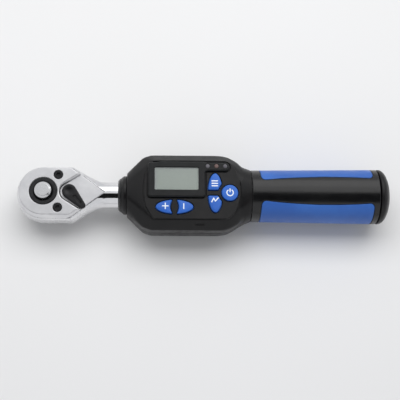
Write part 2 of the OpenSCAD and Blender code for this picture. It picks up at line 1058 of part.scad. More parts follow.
module battery_carrier() {
    at_axis() color("#303033") difference() {
        disc_x(carrier_x0, tube_inner - 0.1, carrier_end - carrier_x0);
        for (side = [-1, 1]) {
            translate([0, side * cell_y, 0])
                disc_x(carrier_x0 + 2, cell_r + 0.08, cell_len + 10);
            translate([cell_x0 + 5, side * 15 - 8, -15])
                cube([cell_len - 10, 16, 30]);
        }
        translate([0, 0, lead_z])
            disc_x(carrier_x0 - 1, lead_hole_r, 3.5);
    }
}

// Two cells side by side, one each way round
module batteries() {
    at_axis() color("lightslategray")
        for (side = [-1, 1])
            translate([0, side * cell_y, 0]) {
                disc_x(cell_x0, cell_r, cell_len - cell_tip);
                disc_x(side > 0 ? cell_x0 + cell_len - cell_tip : cell_x0 - cell_tip, cell_tip_r, cell_tip);
            }
}

// A spring for one cell's flat end and a plate for the other's tip
module battery_contacts() {
    at_axis() color("silver") {
        translate([carrier_x0 + 2.05, cell_y, 0])
            rotate([0, 90, 0])
                coil(3, 0.3, 2.1, 2);
        translate([0, -cell_y, 0]) {
            disc_x(carrier_x0 + 2.05, 4, 0.4);
            disc_x(carrier_x0 + 2.05, 1.6, 1.3);
        }
    }
}

module battery_leads() {
    at_axis() color("firebrick")
        for (side = [-1, 1])
            translate([0, side * 0.8, lead_z])
                disc_x(board_x1 + 0.05, 0.6, carrier_x0 + 1.8 - board_x1, 24);
}

// The end cap: a dome outside, and a plug that screws into the tube
module end_cap() {
    rim_x = cap_x + cap_rim;
    dome = cap_end - rim_x;
    at_axis() color("#232325")
        along_x(0)
            rotate_extrude()
                polygon(concat(
                    [[0, plug_x + 1.2], [plug_recess_r, plug_x + 1.2], [plug_recess_r, plug_x]],
                    [[plug_r - 0.6, plug_x], [plug_r, plug_x + 0.6], [plug_r, seal_x - 1]],
                    [[seal_groove_r, seal_x - 1], [seal_groove_r, seal_x + 1], [plug_r, seal_x + 1]],
                    [[plug_r, cap_x], [grip_r1 - 0.4, cap_x], [grip_r1, cap_x + 0.4], [grip_r1, rim_x]],
                    [for (i = [1:11]) let (a = 90 * i / 12) [grip_r1 * cos(a), rim_x + dome * sin(a)]],
                    [[0, cap_end]]));
}

module cap_seal() {
    wire_r = 0.93;
    at_axis() color("#101011")
        along_x(seal_x)
            rotate_extrude()
                translate([tube_inner - wire_r - 0.1, 0])
                    circle(wire_r, $fn = 32);
}

module cap_contact() {
    at_axis() color("gold")
        disc_x(plug_x + 0.6, plug_recess_r - 0.2, 0.55);
}

head_body();
cover_plate();
cover_screws();
drive_gear();
quick_release_button();
quick_release_spring();
detent_ball();
pawl();
direction_lever();
lever_plunger();
lever_spring();
front_seal();
front_collar();
torque_beam();
head_pin();
tube_pin();
strain_gauges();
gauge_wires();
upper_housing();
lower_housing();
housing_screws();
display_bezel();
display_window();
lcd_panel();
backlight();
indicator_lenses();
status_leds();
circuit_board();
circuit_chips();
buzzer();
key_switches();
plus_key();
minus_key();
mode_key();
track_key();
power_key();
handle_tube();
grip_body();
left_grip_insert();
right_grip_insert();
battery_carrier();
batteries();
battery_contacts();
battery_leads();
end_cap();
cap_seal();
cap_contact();
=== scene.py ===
import json
import math

import bmesh
import bpy
import numpy as np
from mathutils import Matrix, Vector


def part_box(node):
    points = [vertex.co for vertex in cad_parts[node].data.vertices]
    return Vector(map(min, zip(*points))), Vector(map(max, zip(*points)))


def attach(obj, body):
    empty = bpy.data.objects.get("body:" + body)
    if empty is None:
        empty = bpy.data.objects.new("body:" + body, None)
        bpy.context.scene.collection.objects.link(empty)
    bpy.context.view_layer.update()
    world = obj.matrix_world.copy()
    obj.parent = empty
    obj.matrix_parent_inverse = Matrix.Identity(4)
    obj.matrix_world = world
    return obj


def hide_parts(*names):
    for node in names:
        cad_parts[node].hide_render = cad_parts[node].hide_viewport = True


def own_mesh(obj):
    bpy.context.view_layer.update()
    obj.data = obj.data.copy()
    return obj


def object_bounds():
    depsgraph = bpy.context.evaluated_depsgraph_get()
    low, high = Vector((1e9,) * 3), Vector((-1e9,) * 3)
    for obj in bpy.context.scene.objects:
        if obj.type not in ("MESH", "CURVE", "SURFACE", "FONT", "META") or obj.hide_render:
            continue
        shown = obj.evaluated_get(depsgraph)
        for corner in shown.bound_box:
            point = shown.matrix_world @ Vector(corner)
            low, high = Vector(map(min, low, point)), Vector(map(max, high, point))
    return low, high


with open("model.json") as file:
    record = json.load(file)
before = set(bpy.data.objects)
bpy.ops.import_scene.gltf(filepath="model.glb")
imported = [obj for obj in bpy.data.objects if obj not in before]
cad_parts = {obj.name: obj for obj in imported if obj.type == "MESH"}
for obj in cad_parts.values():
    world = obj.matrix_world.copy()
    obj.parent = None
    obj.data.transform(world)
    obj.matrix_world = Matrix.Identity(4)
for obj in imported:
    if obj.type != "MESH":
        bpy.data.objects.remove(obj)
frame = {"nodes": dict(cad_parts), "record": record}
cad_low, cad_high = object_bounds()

MM = 0.001
HALF_ROOT = 0.7071       # a 45 degree slope's share along each axis
GRIP_HEIGHTS = [corner[2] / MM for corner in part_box("grip_body")]
AXIS_Z = sum(GRIP_HEIGHTS) / 2       # the centre line's height in the frame


def box_mm(node):
    """The low and high corners of a CAD node, in millimetres and with z from the centre line."""
    return [np.array(corner) / MM - [0, 0, AXIS_Z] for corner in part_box(node)]


# ---------- Boxes of the CAD nodes, and the places and sizes that shape the pieces ----------
head_low, head_high = box_mm("head_body")
plate_low, plate_high = box_mm("cover_plate")
upper_low, upper_high = box_mm("upper_housing")
bezel_high = box_mm("display_bezel")[1]
window_low, window_high = box_mm("display_window")
grip_low, grip_high = box_mm("grip_body")
cap_low, cap_high = box_mm("end_cap")
drive_low, drive_high = box_mm("drive_gear")
button_low, button_high = box_mm("quick_release_button")
spring_low, spring_high = box_mm("quick_release_spring")
seal_low, seal_high = box_mm("front_seal")
collar_low, collar_high = box_mm("front_collar")

HEAD_R = -head_low[0]
HEAD_BOTTOM = head_low[2]
CAVITY_R = 10.3          # the room for the gear
NECK_R = 7.7
TANG_R = 4.5             # the tongue that the beam is pinned to
SEAT_Z = plate_low[2]
PLATE_TOP = plate_high[2]
DECK_Z = 7.4             # the plate's lower part, that the lever turns on
POCKET_R, POCKET_ANGLE, POCKET_BEVEL = 5.5, math.radians(33), 0.7
PLATE_R = HEAD_R - 1.8
PLATE_TIP = 34.7
PLATE_DRAFT = 0.25       # the plate widens by this much for each millimetre down
VEE_ANGLE = math.radians(36.5)
FLARE_ANGLE = math.radians(30)
FLARE_X, FLARE_Y = 22, 12.5          # a point on the line where the head narrows to the flare
NECK_X, NECK_BLEND, CONE_X = 37, 25, 24.5    # the neck is straight from NECK_X, and a cone up to CONE_X
NECK_TOP_RISE, NECK_TOP_X, NECK_TOP_RUN = 1.3, 27, 9     # where the flat top of the flare runs out
LEVER_X = 15.0
LEVER_ANGLE = math.radians(47.5)
LEVER_TOP = box_mm("direction_lever")[1][2]
BOSS_R, TAIL_R, TAIL_LENGTH = 4.2, 2.0, 11.3
LEVER_SHAFT_R = 2.5
LEVER_BORE_R = LEVER_SHAFT_R + 0.06
SCREW_PLACES = [(8.5, 9.85), (8.5, -9.85)]
SCREW_R, SCREW_SHANK_R, SCREW_HEAD_H = 2.6, 1.2, 2.2
GEAR_R, GEAR_TEETH, TOOTH_DEPTH = 9.58, 72, 0.42
HUB_R = 8.1
SHOULDER_R = 8.9
SQUARE = 9.53            # 3/8 inch
BUTTON_R, STEM_R = 5.05, 2.1
WELL_R, WELL_FLOOR = 5.15, -1
SPRING_R, SPRING_WIRE_R, SPRING_TURNS = 3.5, 0.4, 4.5
BALL_Z, BALL_BORE_R = -16, 1.64

COLLAR_FACE = 48.4       # the collar's broad part ends here, at the housing
HOUSING_X0, HOUSING_X1 = upper_low[0], upper_high[0]
HALF_W = upper_high[1]
HALF_T = 14.2
WALL = 1.8
BEAM_HOLE_R, BEAM_HOLE_END = 8.5, 55
WAIST_Z = 7.8            # half the height of the upright band round the sides
DECK_STEP = 0.5          # the key panel stands this far above the shoulders round it
PANEL_T = 1.0
CHANNEL_DEPTH = 0.7      # of the channel that the display's frame stands in
NECK_END_R = 15.6

LAMP_X = [95.5, 100.6, 105.7]
LAMP_Y = 14.0
LAMP_R = 1.3
BEZEL_TOP = bezel_high[2]
DISPLAY_FRAME = (60.7, -4.8), (94, 16.3)
LAMP_BAR = (66, 11), (bezel_high[0], 16.3)
KEY_TOP = box_mm("plus_key")[1][2]
PAIR_C, PAIR_R = (76.15, -10.5), (10.75, 4.1)        # the ellipse that plus and minus share
MENU_C, MENU_R = (99.8, -2.0), (4.2, 11.7)           # the ellipse that mode and track share
POWER_C, POWER_R = (108.3, -2.0), 4.75
KEY_GAP = 0.42

GRIP_X0, GRIP_X1 = grip_low[0], grip_high[0]
GRIP_R0, GRIP_R1 = 15.4, 16.3
GRIP_BORE_R = 12.43
INSERT_X0, INSERT_X1, INSERT_T = 127.0, 193.4, 1.6
INSERT_Y, INSERT_CORNER = 8.4, 2.8   # the inserts' inner edges bow out to 8.4 mm from the middle
CAP_X, CAP_END = GRIP_X1 + 0.7, cap_high[0]
SEAL_X = CAP_X - 2.8
PLUG_R, GROOVE_R = 11.27, 9.3
THREAD_PITCH, THREAD_DEPTH = 2.0, 0.5


# ---------- Fields ----------
def round_max(a, b, r):
    """The part inside both a and b, with a rounded edge."""
    return np.minimum(-r, np.maximum(a, b)) + np.hypot(np.maximum(r + a, 0), np.maximum(r + b, 0))


def round_min(a, b, r):
    """The part inside a or b, with a fillet."""
    return np.maximum(r, np.minimum(a, b)) - np.hypot(np.maximum(r - a, 0), np.maximum(r - b, 0))


def without(a, b, r=0):
    """a with b cut away, and the new edge rounded if r isn't 0."""
    return round_max(a, -b, r) if r else np.maximum(a, -b)


def circle(x, y, centre, r):
    return np.hypot(x - centre[0], y - centre[1]) - r


def rectangle(x, y, low, high, r=0.0):
    """A rectangle with corners of radius r."""
    dx = np.abs(x - (low[0] + high[0]) / 2) - (high[0] - low[0]) / 2 + r
    dy = np.abs(y - (low[1] + high[1]) / 2) - (high[1] - low[1]) / 2 + r
    return np.hypot(np.maximum(dx, 0), np.maximum(dy, 0)) + np.minimum(np.maximum(dx, dy), 0) - r


def between(z, low, high):
    return np.maximum(low - z, z - high)


def ellipse(x, y, centre, radii):
    u, v = (x - centre[0]) / radii[0], (y - centre[1]) / radii[1]
    k = np.hypot(u, v) + 1e-9
    return k * (k - 1) / (np.hypot(u / radii[0], v / radii[1]) + 1e-9)


def segment(x, y, a, b):
    """Distance from a straight stroke from a to b."""
    ab = np.subtract(b, a)
    t = np.clip(((x - a[0]) * ab[0] + (y - a[1]) * ab[1]) / (ab @ ab), 0, 1)
    return np.hypot(x - a[0] - t * ab[0], y - a[1] - t * ab[1])


def tapered_bar(u, v, r0, r1, length):
    """A bar round at both ends, of radius r0 at the origin and r1 at u = length."""
    lean = (r0 - r1) / length
    upright = math.sqrt(1 - lean * lean)
    v = np.abs(v)
    k = upright * u - lean * v
    side = lean * u + upright * v - r0
    far = np.where(k > upright * length, np.hypot(u - length, v) - r1, side)
    return np.where(k < 0, np.hypot(u, v) - r0, far)


def polygon_distance(x, y, points):
    """Signed distance from a closed outline."""
    nearest, odd = np.inf, False
    for a, b in zip(points, points[1:] + points[:1]):
        nearest = np.minimum(nearest, segment(x, y, a, b))
        crosses = (a[1] > y) != (b[1] > y)
        at = a[0] + (y - a[1]) * (b[0] - a[0]) / ((b[1] - a[1]) or 1e-9)
        odd = odd ^ (crosses & (x < at))
    return np.where(odd, -nearest, nearest)


def both_sides(half):
    return half + [(x, -y) for x, y in reversed(half)]


# ---------- Meshes ----------
def surface_net(field, low, high, step):
    """Points, outward normals and quads of the field's zero surface, with a point in each cell it crosses."""
    low = np.array(low, float)
    axes = [np.arange(a, b + step, step) for a, b in zip(low, high)]
    grid = field(axes[0][:, None, None], axes[1][None, :, None], axes[2][None, None, :])
    inside = np.broadcast_to(grid, [len(a) for a in axes]) < 0
    shape = [n - 1 for n in inside.shape]
    filled = np.zeros(shape, np.int8)
    for corner in np.ndindex(2, 2, 2):
        filled += inside[tuple(slice(c, c + n) for c, n in zip(corner, shape))]
    crossed = (filled > 0) & (filled < 8)
    index = np.full(shape, -1)
    index[crossed] = np.arange(crossed.sum())
    centre = low + (np.argwhere(crossed) + 0.5) * step
    points = centre.copy()
    for _ in range(4):
        value, slope = field_slope(field, points)
        points -= slope * (value / np.maximum((slope ** 2).sum(1), 1e-6))[:, None]
        points = np.clip(points, centre - 0.7 * step, centre + 0.7 * step)
    normals = field_slope(field, points)[1]
    normals /= np.maximum(np.linalg.norm(normals, axis=1), 1e-9)[:, None]
    quads = []
    for axis in range(3):
        order = [axis, (axis + 1) % 3, (axis + 2) % 3]
        solid, cell = np.transpose(inside, order), np.transpose(index, order)
        below, above = solid[:-1, 1:-1, 1:-1], solid[1:, 1:-1, 1:-1]
        i, j, k = np.nonzero(below != above)
        quad = np.stack([cell[i, j, k], cell[i, j + 1, k], cell[i, j + 1, k + 1], cell[i, j, k + 1]], 1)
        flip = above[i, j, k]
        quad[flip] = quad[flip][:, ::-1]
        quads.append(quad)
    return points, normals, np.concatenate(quads)


def field_slope(field, points, h=0.03):
    """The field's value and gradient at each point."""
    x, y, z = points.T
    slope = np.stack([
        field(x + h, y, z) - field(x - h, y, z),
        field(x, y + h, z) - field(x, y - h, z),
        field(x, y, z + h) - field(x, y, z - h)], 1) / (2 * h)
    return field(x, y, z), slope


def add_mesh(name, points, faces, normals=None):
    """A new smooth object from points in millimetres about the centre line."""
    mesh = bpy.data.meshes.new(name)
    placed = (np.asarray(points, float) + [0, 0, AXIS_Z]) * MM
    mesh.from_pydata(placed.tolist(), [], [list(f) for f in faces])
    mesh.shade_smooth()
    if normals is not None:
        mesh.normals_split_custom_set_from_vertices(normals.tolist())
    return add_object(name, mesh)


def from_field(name, field, low, high, step):
    """A mesh of the field's surface between two corners."""
    margin = 2 * step
    points, normals, quads = surface_net(field, np.array(low) - margin, np.array(high) + margin, step)
    return add_mesh(name, points, quads.tolist(), normals)


def rounded(profile, radius, steps=5):
    """The profile with each inner corner replaced by an arc, where the sides are long enough."""
    out = [profile[0]]
    for before, corner, after in zip(profile, profile[1:], profile[2:]):
        to_before, to_after = np.subtract(before, corner), np.subtract(after, corner)
        length = min(np.linalg.norm(to_before), np.linalg.norm(to_after))
        to_before, to_after = to_before / np.linalg.norm(to_before), to_after / np.linalg.norm(to_after)
        half = math.acos(np.clip(to_before @ to_after, -1, 1)) / 2
        reach = min(radius / math.tan(half), 0.49 * length)
        for i in range(steps + 1):
            t = i / steps
            a, b = corner + to_before * reach, corner + to_after * reach
            out.append(tuple((1 - t) ** 2 * a + 2 * t * (1 - t) * np.array(corner) + t * t * b))
    return out + [profile[-1]]


def lathe(name, profile, along="x", segments=128, centre=(0.0, 0.0)):
    """A closed turned piece. The profile is (place along the axis, radius); a radius of 0 closes an end."""
    points, rings = [], []
    for place, radius in profile:
        ring = []
        count = 1 if radius < 1e-6 else segments
        for i in range(count):
            a = 2 * math.pi * i / segments
            u, v = radius * math.cos(a), radius * math.sin(a)
            ring.append(len(points))
            points.append((place, u, v) if along == "x" else (centre[0] + u, centre[1] + v, place))
        rings.append(ring)
    faces = []
    closed = profile[0][1] > 1e-6
    for a, b in zip(rings, rings[1:] + (rings[:1] if closed else [])):
        for i in range(segments):
            j = (i + 1) % segments
            quad = [a[i % len(a)], a[j % len(a)], b[j % len(b)], b[i % len(b)]]
            face = list(dict.fromkeys(quad))
            if len(face) > 2:
                faces.append(face)
    piece = add_mesh(name, points, faces)
    tidy_faces(piece.data)
    piece.data.set_sharp_from_angle(angle=math.radians(35))
    return piece


def coil(name, radius, wire, low, high, turns, sides=8, per_turn=24):
    """A closed spring of round wire, upright about the drive axis."""
    steps = round(turns * per_turn)
    points = []
    for i in range(steps + 1):
        a = 2 * math.pi * i / per_turn
        place = low + wire + (high - low - 2 * wire) * i / steps
        for j in range(sides):
            b = 2 * math.pi * j / sides
            r = radius + wire * math.cos(b)
            points.append((r * math.cos(a), r * math.sin(a), place + wire * math.sin(b)))
    faces = [list(range(sides)), list(range(steps * sides, (steps + 1) * sides))]
    for i in range(0, steps * sides, sides):
        for j in range(sides):
            k = (j + 1) % sides
            faces.append([i + j, i + k, i + k + sides, i + j + sides])
    piece = add_mesh(name, points, faces)
    tidy_faces(piece.data)
    piece.data.set_sharp_from_angle(angle=math.radians(50))
    return piece


def tidy_faces(mesh):
    """All faces outwards."""
    work = bmesh.new()
    work.from_mesh(mesh)
    bmesh.ops.recalc_face_normals(work, faces=work.faces)
    work.to_mesh(mesh)
    work.free()


# ---------- Materials ----------
class Maker:
    """A material whose nodes are added one by one."""

    def __init__(self, name, **sockets):
        self.material = bpy.data.materials.new(name)
        self.material.use_nodes = True
        self.nodes = self.material.node_tree.nodes
        self.links = self.material.node_tree.links
        self.shader = self.nodes["Principled BSDF"]
        self.place = self.nodes.new("ShaderNodeTexCoord").outputs["Object"]
        for socket, value in sockets.items():
            self.shader.inputs[socket.replace("_", " ")].default_value = value

    def link(self, source, target):
        self.links.new(source, target)

    def texture(self, kind, scale, stretch=(1, 1, 1), **inputs):
        """A texture node with this many cells to the millimetre."""
        mapping = self.nodes.new("ShaderNodeMapping")
        mapping.inputs["Scale"].default_value = [s * scale / MM for s in stretch]
        node = self.nodes.new(kind)
        for socket, value in {"Scale": 1.0, **inputs}.items():
            node.inputs[socket].default_value = value
        self.link(self.place, mapping.inputs["Vector"])
        self.link(mapping.outputs["Vector"], node.inputs["Vector"])
        return node

    def noise(self, scale, detail=3.0, stretch=(1, 1, 1)):
        node = self.texture("ShaderNodeTexNoise", scale, stretch, Detail=detail, Roughness=0.55)
        return node.outputs["Fac"]

    def cells(self, scale):
        """Distance from the middles of cells."""
        return self.texture("ShaderNodeTexVoronoi", scale).outputs["Distance"]

    def spread(self, value, low, high, start=0.3, end=0.7):
        """value, taken from start..end to low..high."""
        node = self.nodes.new("ShaderNodeMapRange")
        node.interpolation_type = "SMOOTHSTEP"
        for socket, number in zip(["From Min", "From Max", "To Min", "To Max"], [start, end, low, high]):
            node.inputs[socket].default_value = number
        self.link(value, node.inputs["Value"])
        return node.outputs["Result"]

    def combine(self, operation, a, b):
        """b is another node's output or a plain number."""
        node = self.nodes.new("ShaderNodeMath")
        node.operation = operation
        self.link(a, node.inputs[0])
        if isinstance(b, float):
            node.inputs[1].default_value = b
        else:
            self.link(b, node.inputs[1])
        return node.outputs[0]

    def along(self, axis):
        """The place along one axis, in millimetres."""
        split = self.nodes.new("ShaderNodeSeparateXYZ")
        self.link(self.place, split.inputs[0])
        return self.combine("DIVIDE", split.outputs[axis], MM)

    def colour(self, value, low, high, start=0.3, end=0.7):
        """The base colour goes from low to high with value."""
        ramp = self.nodes.new("ShaderNodeValToRGB")
        ramp.color_ramp.elements[0].color = (*low, 1)
        ramp.color_ramp.elements[1].color = (*high, 1)
        self.link(self.spread(value, 0.0, 1.0, start, end), ramp.inputs["Fac"])
        self.link(ramp.outputs["Color"], self.shader.inputs["Base Color"])

    def roughness(self, value):
        self.link(value, self.shader.inputs["Roughness"])

    def bump(self, height, depth_mm, strength):
        node = self.nodes.new("ShaderNodeBump")
        node.inputs["Strength"].default_value = strength
        node.inputs["Distance"].default_value = depth_mm * MM
        self.link(height, node.inputs["Height"])
        self.link(node.outputs["Normal"], self.shader.inputs["Normal"])


def chrome(name, low, high, rough, polished_from=None):
    """Satin plating with a fine grain. From polished_from mm along X it is polished."""
    m = Maker(name, Metallic=1.0)
    m.colour(m.noise(0.08, 4), low, high)
    rough = m.spread(m.noise(0.9, 4), *rough)
    if polished_from is not None:
        satin = m.spread(m.along("X"), 1.0, 0.22, polished_from, polished_from + 12)
        rough = m.combine("MULTIPLY", rough, satin)
    m.roughness(rough)
    m.bump(m.noise(5, 2), 0.004, 0.35)
    return m.material


def polished_chrome(name):
    m = Maker(name, Metallic=1.0)
    m.colour(m.noise(0.15), (0.60, 0.60, 0.61), (0.67, 0.67, 0.675))
    m.roughness(m.spread(m.noise(1.2, 4), 0.16, 0.24))
    m.bump(m.noise(3, 2), 0.003, 0.2)
    return m.material


def steel(name, low, high, grain=(1, 1, 1)):
    m = Maker(name, Metallic=1.0)
    m.colour(m.noise(0.4, 3, stretch=grain), low, high)
    m.roughness(m.spread(m.noise(2, 3, stretch=grain), 0.28, 0.42))
    m.bump(m.noise(4, 2, stretch=grain), 0.004, 0.3)
    return m.material


def black_oxide(name, low, high):
    """Blackened steel: mottled, with a soft sheen."""
    m = Maker(name, Metallic=0.3, Specular_IOR_Level=0.4)
    m.colour(m.noise(0.7, 4), low, high)
    m.roughness(m.spread(m.noise(1.6, 4), 0.3, 0.44))
    m.bump(m.noise(3.5, 3), 0.008, 0.35)
    return m.material


def moulded(name, low, high, depth=0.02):
    """Plastic with a fine spark-eroded texture."""
    m = Maker(name, Specular_IOR_Level=0.26)
    m.colour(m.noise(0.05, 5), low, high)
    m.roughness(m.spread(m.noise(0.25, 4), 0.3, 0.42))
    grain = 3.2
    m.bump(m.combine("ADD", m.noise(grain, 2), m.cells(grain * 0.8)), depth, 0.3)
    return m.material


def rubber(name, low, high, rough, gleam=0.36):
    """Soft-touch rubber: a fine matt skin with slight waves in the sheen."""
    m = Maker(name, Specular_IOR_Level=gleam, Sheen_Weight=0.04, Sheen_Roughness=0.5)
    m.colour(m.noise(0.04, 5), low, high)
    m.roughness(m.spread(m.noise(0.2, 5), *rough))
    m.bump(m.combine("ADD", m.noise(2.6, 3), m.noise(7, 1)), 0.025, 0.3)
    return m.material


def gloss(name, low, high, rough=(0.12, 0.22), **sockets):
    m = Maker(name, **sockets)
    m.colour(m.noise(0.3), low, high)
    m.roughness(m.spread(m.noise(0.5, 4), *rough))
    m.bump(m.noise(1.5, 2), 0.003, 0.15)
    return m.material


def lcd_material(name):
    """Reflective display: grey-green, with painted shade of its frame: darker, greyer strips along its left
    and top edges.
    """
    m = Maker(name, Specular_IOR_Level=0.3)
    low, high = window_low + 0.9, window_high - 0.9
    # painted shade of the frame: strips this wide along the left and top edges of the display are darker and
    # greyer
    margin = 1.3
    left = m.spread(m.along("X"), 0.0, 1.0, low[0] + margin - 0.3, low[0] + margin)
    top = m.spread(m.along("Y"), 1.0, 0.0, high[1] - margin, high[1] - margin + 0.3)
    # 1 away from the painted frame shade, 0 inside the left and top shaded strips
    clear_of_frame_shadow = m.combine("MULTIPLY", left, top)
    cloud = m.spread(m.noise(0.12, 3), 0.82, 1.0)
    shade = m.combine("MULTIPLY", clear_of_frame_shadow, cloud)
    m.colour(shade, (0.146, 0.147, 0.160), (0.154, 0.172, 0.156), 0.0, 1.0)
    m.roughness(m.spread(m.noise(0.8), 0.35, 0.45))
    m.bump(m.noise(6, 1), 0.002, 0.2)
    return m.material


def clear_material(name):
    """A thin hard-coated window: mostly clear, with its own soft gloss."""
    m = Maker(name, Specular_IOR_Level=0.5, Base_Color=(0.9, 0.95, 0.92, 1))
    m.roughness(m.spread(m.noise(0.3, 3), 0.06, 0.12))
    see_through = m.nodes.new("ShaderNodeBsdfTransparent")
    see_through.inputs["Color"].default_value = (0.95, 0.97, 0.955, 1)
    mix = m.nodes.new("ShaderNodeMixShader")
    mix.inputs["Fac"].default_value = 0.12
    m.link(see_through.outputs[0], mix.inputs[1])
    m.link(m.shader.outputs[0], mix.inputs[2])
    m.link(mix.outputs[0], m.nodes["Material Output"].inputs["Surface"])
    return m.material


MATERIALS = {
    "chrome_plate": chrome("satin_chrome", (0.655, 0.655, 0.672), (0.775, 0.775, 0.787), (0.30, 0.40)),
    "body_chrome": chrome(
        "satin_to_polished_chrome", (0.70, 0.70, 0.715), (0.80, 0.80, 0.81), (0.25, 0.36), 20),
    "bright_chrome": polished_chrome("polished_chrome"),
    "black_steel": black_oxide("black_oxide_screws", (0.006, 0.006, 0.007), (0.013, 0.013, 0.015)),
    "hardened_steel": black_oxide("black_oxide_gear", (0.009, 0.009, 0.010), (0.018, 0.018, 0.020)),
    "spring_steel": steel("spring_steel", (0.42, 0.42, 0.43), (0.56, 0.56, 0.58)),
    "beam_steel": steel("ground_steel", (0.48, 0.49, 0.5), (0.62, 0.63, 0.64), grain=(0.1, 1, 1)),
    "black_lever": black_oxide("black_lever", (0.006, 0.006, 0.007), (0.013, 0.013, 0.015)),
    "black_rubber": rubber(
        "black_rubber", (0.0035, 0.0035, 0.004), (0.007, 0.007, 0.0075), (0.26, 0.34), 0.5),
    "black_plastic": moulded("moulded_black", (0.006, 0.006, 0.0065), (0.0095, 0.009, 0.0095)),
    "gloss_black": gloss(
        "bezel_black", (0.005, 0.0055, 0.006), (0.0075, 0.008, 0.009), (0.34, 0.44), Specular_IOR_Level=0.28),
    "clear_window": clear_material("window_clear"),
    "lcd_glass": lcd_material("lcd_grey_green"),
    "white_plastic": moulded("diffuser_white", (0.7, 0.7, 0.67), (0.8, 0.8, 0.77)),
    "lamp_grey": gloss("lamp_smoke", (0.07, 0.066, 0.08), (0.11, 0.105, 0.12), (0.4, 0.5)),
    "lamp_red": gloss("lamp_red_brown", (0.10, 0.062, 0.056), (0.13, 0.080, 0.074), (0.4, 0.5)),
    "board_laminate": gloss("board_green", (0.012, 0.09, 0.035), (0.02, 0.14, 0.055), (0.25, 0.4)),
    "copper_foil": steel("copper", (0.6, 0.33, 0.17), (0.75, 0.45, 0.25)),
    "blue_key": rubber("key_blue", (0.017, 0.100, 0.44), (0.023, 0.128, 0.52), (0.38, 0.5)),
    "key_print": moulded("key_print_white", (0.72, 0.78, 0.86), (0.84, 0.88, 0.93), depth=0.004),
    "grip_black": rubber("grip_black", (0.0025, 0.0025, 0.003), (0.0045, 0.0045, 0.005), (0.2, 0.27), 0.47),
    "grip_blue": rubber("grip_blue", (0.020, 0.105, 0.42), (0.030, 0.138, 0.50), (0.36, 0.48), 0.45),
    "cell_sleeve": gloss("cell_sleeve", (0.10, 0.13, 0.16), (0.17, 0.2, 0.24), Metallic=0.3),
}


def finish_piece(piece, body, slot, node=None, material=None):
    """Gives a new piece its body and its finish, and hides the CAD node that it stands for."""
    piece.data.materials.append(MATERIALS[material or slot])
    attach(piece, body)
    if node:
        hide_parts(node)


def field_piece(name, field, step, body, slot, node=None, box=None, material=None):
    """A piece made from a field over its CAD node's box, or over the box given."""
    finish_piece(from_field(name, field, *(box or box_mm(node)), step), body, slot, node, material)


# ---------- Ratchet head ----------
def round_end(x, y):
    """Distance from the half line that the head's round end and straight sides are drawn about."""
    return np.where(x < 0, np.hypot(x, y), np.abs(y))


def plate_edge(x, y, z):
    """Zero on the drafted edge of the cover plate."""
    side = round_end(x, y) - PLATE_R
    point = (x - PLATE_TIP) * math.sin(VEE_ANGLE) + np.sqrt(y * y + 0.02) * math.cos(VEE_ANGLE)
    return round_max(side, point, 0.8) - PLATE_DRAFT * (PLATE_TOP - z)


def head_block(x, y, z):
    """The thick round part of the body: upright sides, a taper below and a slight one above."""
    slope = (x - FLARE_X) * math.sin(FLARE_ANGLE) + (np.abs(y) - FLARE_Y) * math.cos(FLARE_ANGLE)
    side = round_max(round_end(x, y) - HEAD_R, slope, 0.8)
    below = 0.917 * side - 0.4 * (z + 5.5)
    above = 0.98 * side + 0.2 * (z - 2.5)
    block = round_max(round_max(side, below, 0.5), above, 0.15)
    return round_max(round_max(block, HEAD_BOTTOM - z, 1.6), z - SEAT_Z, 0.25)


def neck_and_flare(x, y, z):
    bend = np.clip((NECK_X - x) / NECK_BLEND, 0, math.sin(FLARE_ANGLE))
    radius = NECK_R + NECK_BLEND * (1 - np.sqrt(1 - bend * bend))
    radius = radius + np.maximum(CONE_X - x, 0) * math.tan(FLARE_ANGLE)
    turned = (np.hypot(y, z) - radius) * 0.92
    # the top is cut level with the plate, and the cut runs out along the neck
    t = np.clip((x - NECK_TOP_X) / NECK_TOP_RUN, 0, 1)
    turned = round_max(turned, z - (DECK_Z - 0.15 + NECK_TOP_RISE * t * t * (3 - 2 * t)), 0.3)
    turned = round_max(turned, -8.6 - z, 1.2)
    return np.maximum(turned, between(x, 17, 52))


def head_body(x, y, z):
    body = round_min(head_block(x, y, z), neck_and_flare(x, y, z), 2)
    tang = np.maximum(np.hypot(y, z) - TANG_R, between(x, 50, head_high[0]))
    body = np.minimum(body, tang)
    body = without(body, np.maximum(plate_edge(x, y, z) - 0.05, SEAT_Z - z), 0.25)
    from_axis = np.hypot(x, y)
    cavity = np.maximum(from_axis - CAVITY_R, between(z, -6, 9))
    pawl_room = np.maximum(rectangle(x, y, (5, -7.6), (20, 7.6)), between(z, -6, 9))
    body = without(body, np.minimum(cavity, pawl_room), 0.1)
    body = without(body, np.maximum(from_axis - SHOULDER_R - 0.08, z), 0.35)
    body = without(body, np.maximum(circle(x, y, (LEVER_X, 0), LEVER_BORE_R), -7.9 - z))
    for place in SCREW_PLACES:
        body = without(body, np.maximum(circle(x, y, place, SCREW_SHANK_R + 0.05), -3 - z))
    return body


def lever_pocket(x, y, z):
    """Round at the lever's boss, then open between two straight sides, and narrower downwards."""
    dx, side = x - LEVER_X, np.abs(y)
    c, s = math.cos(POCKET_ANGLE), math.sin(POCKET_ANGLE)
    straight = side * c - dx * s
    return np.where(dx * c + side * s > 0, straight, np.hypot(dx, side)) - POCKET_R + 0.1 * (PLATE_TOP - z)


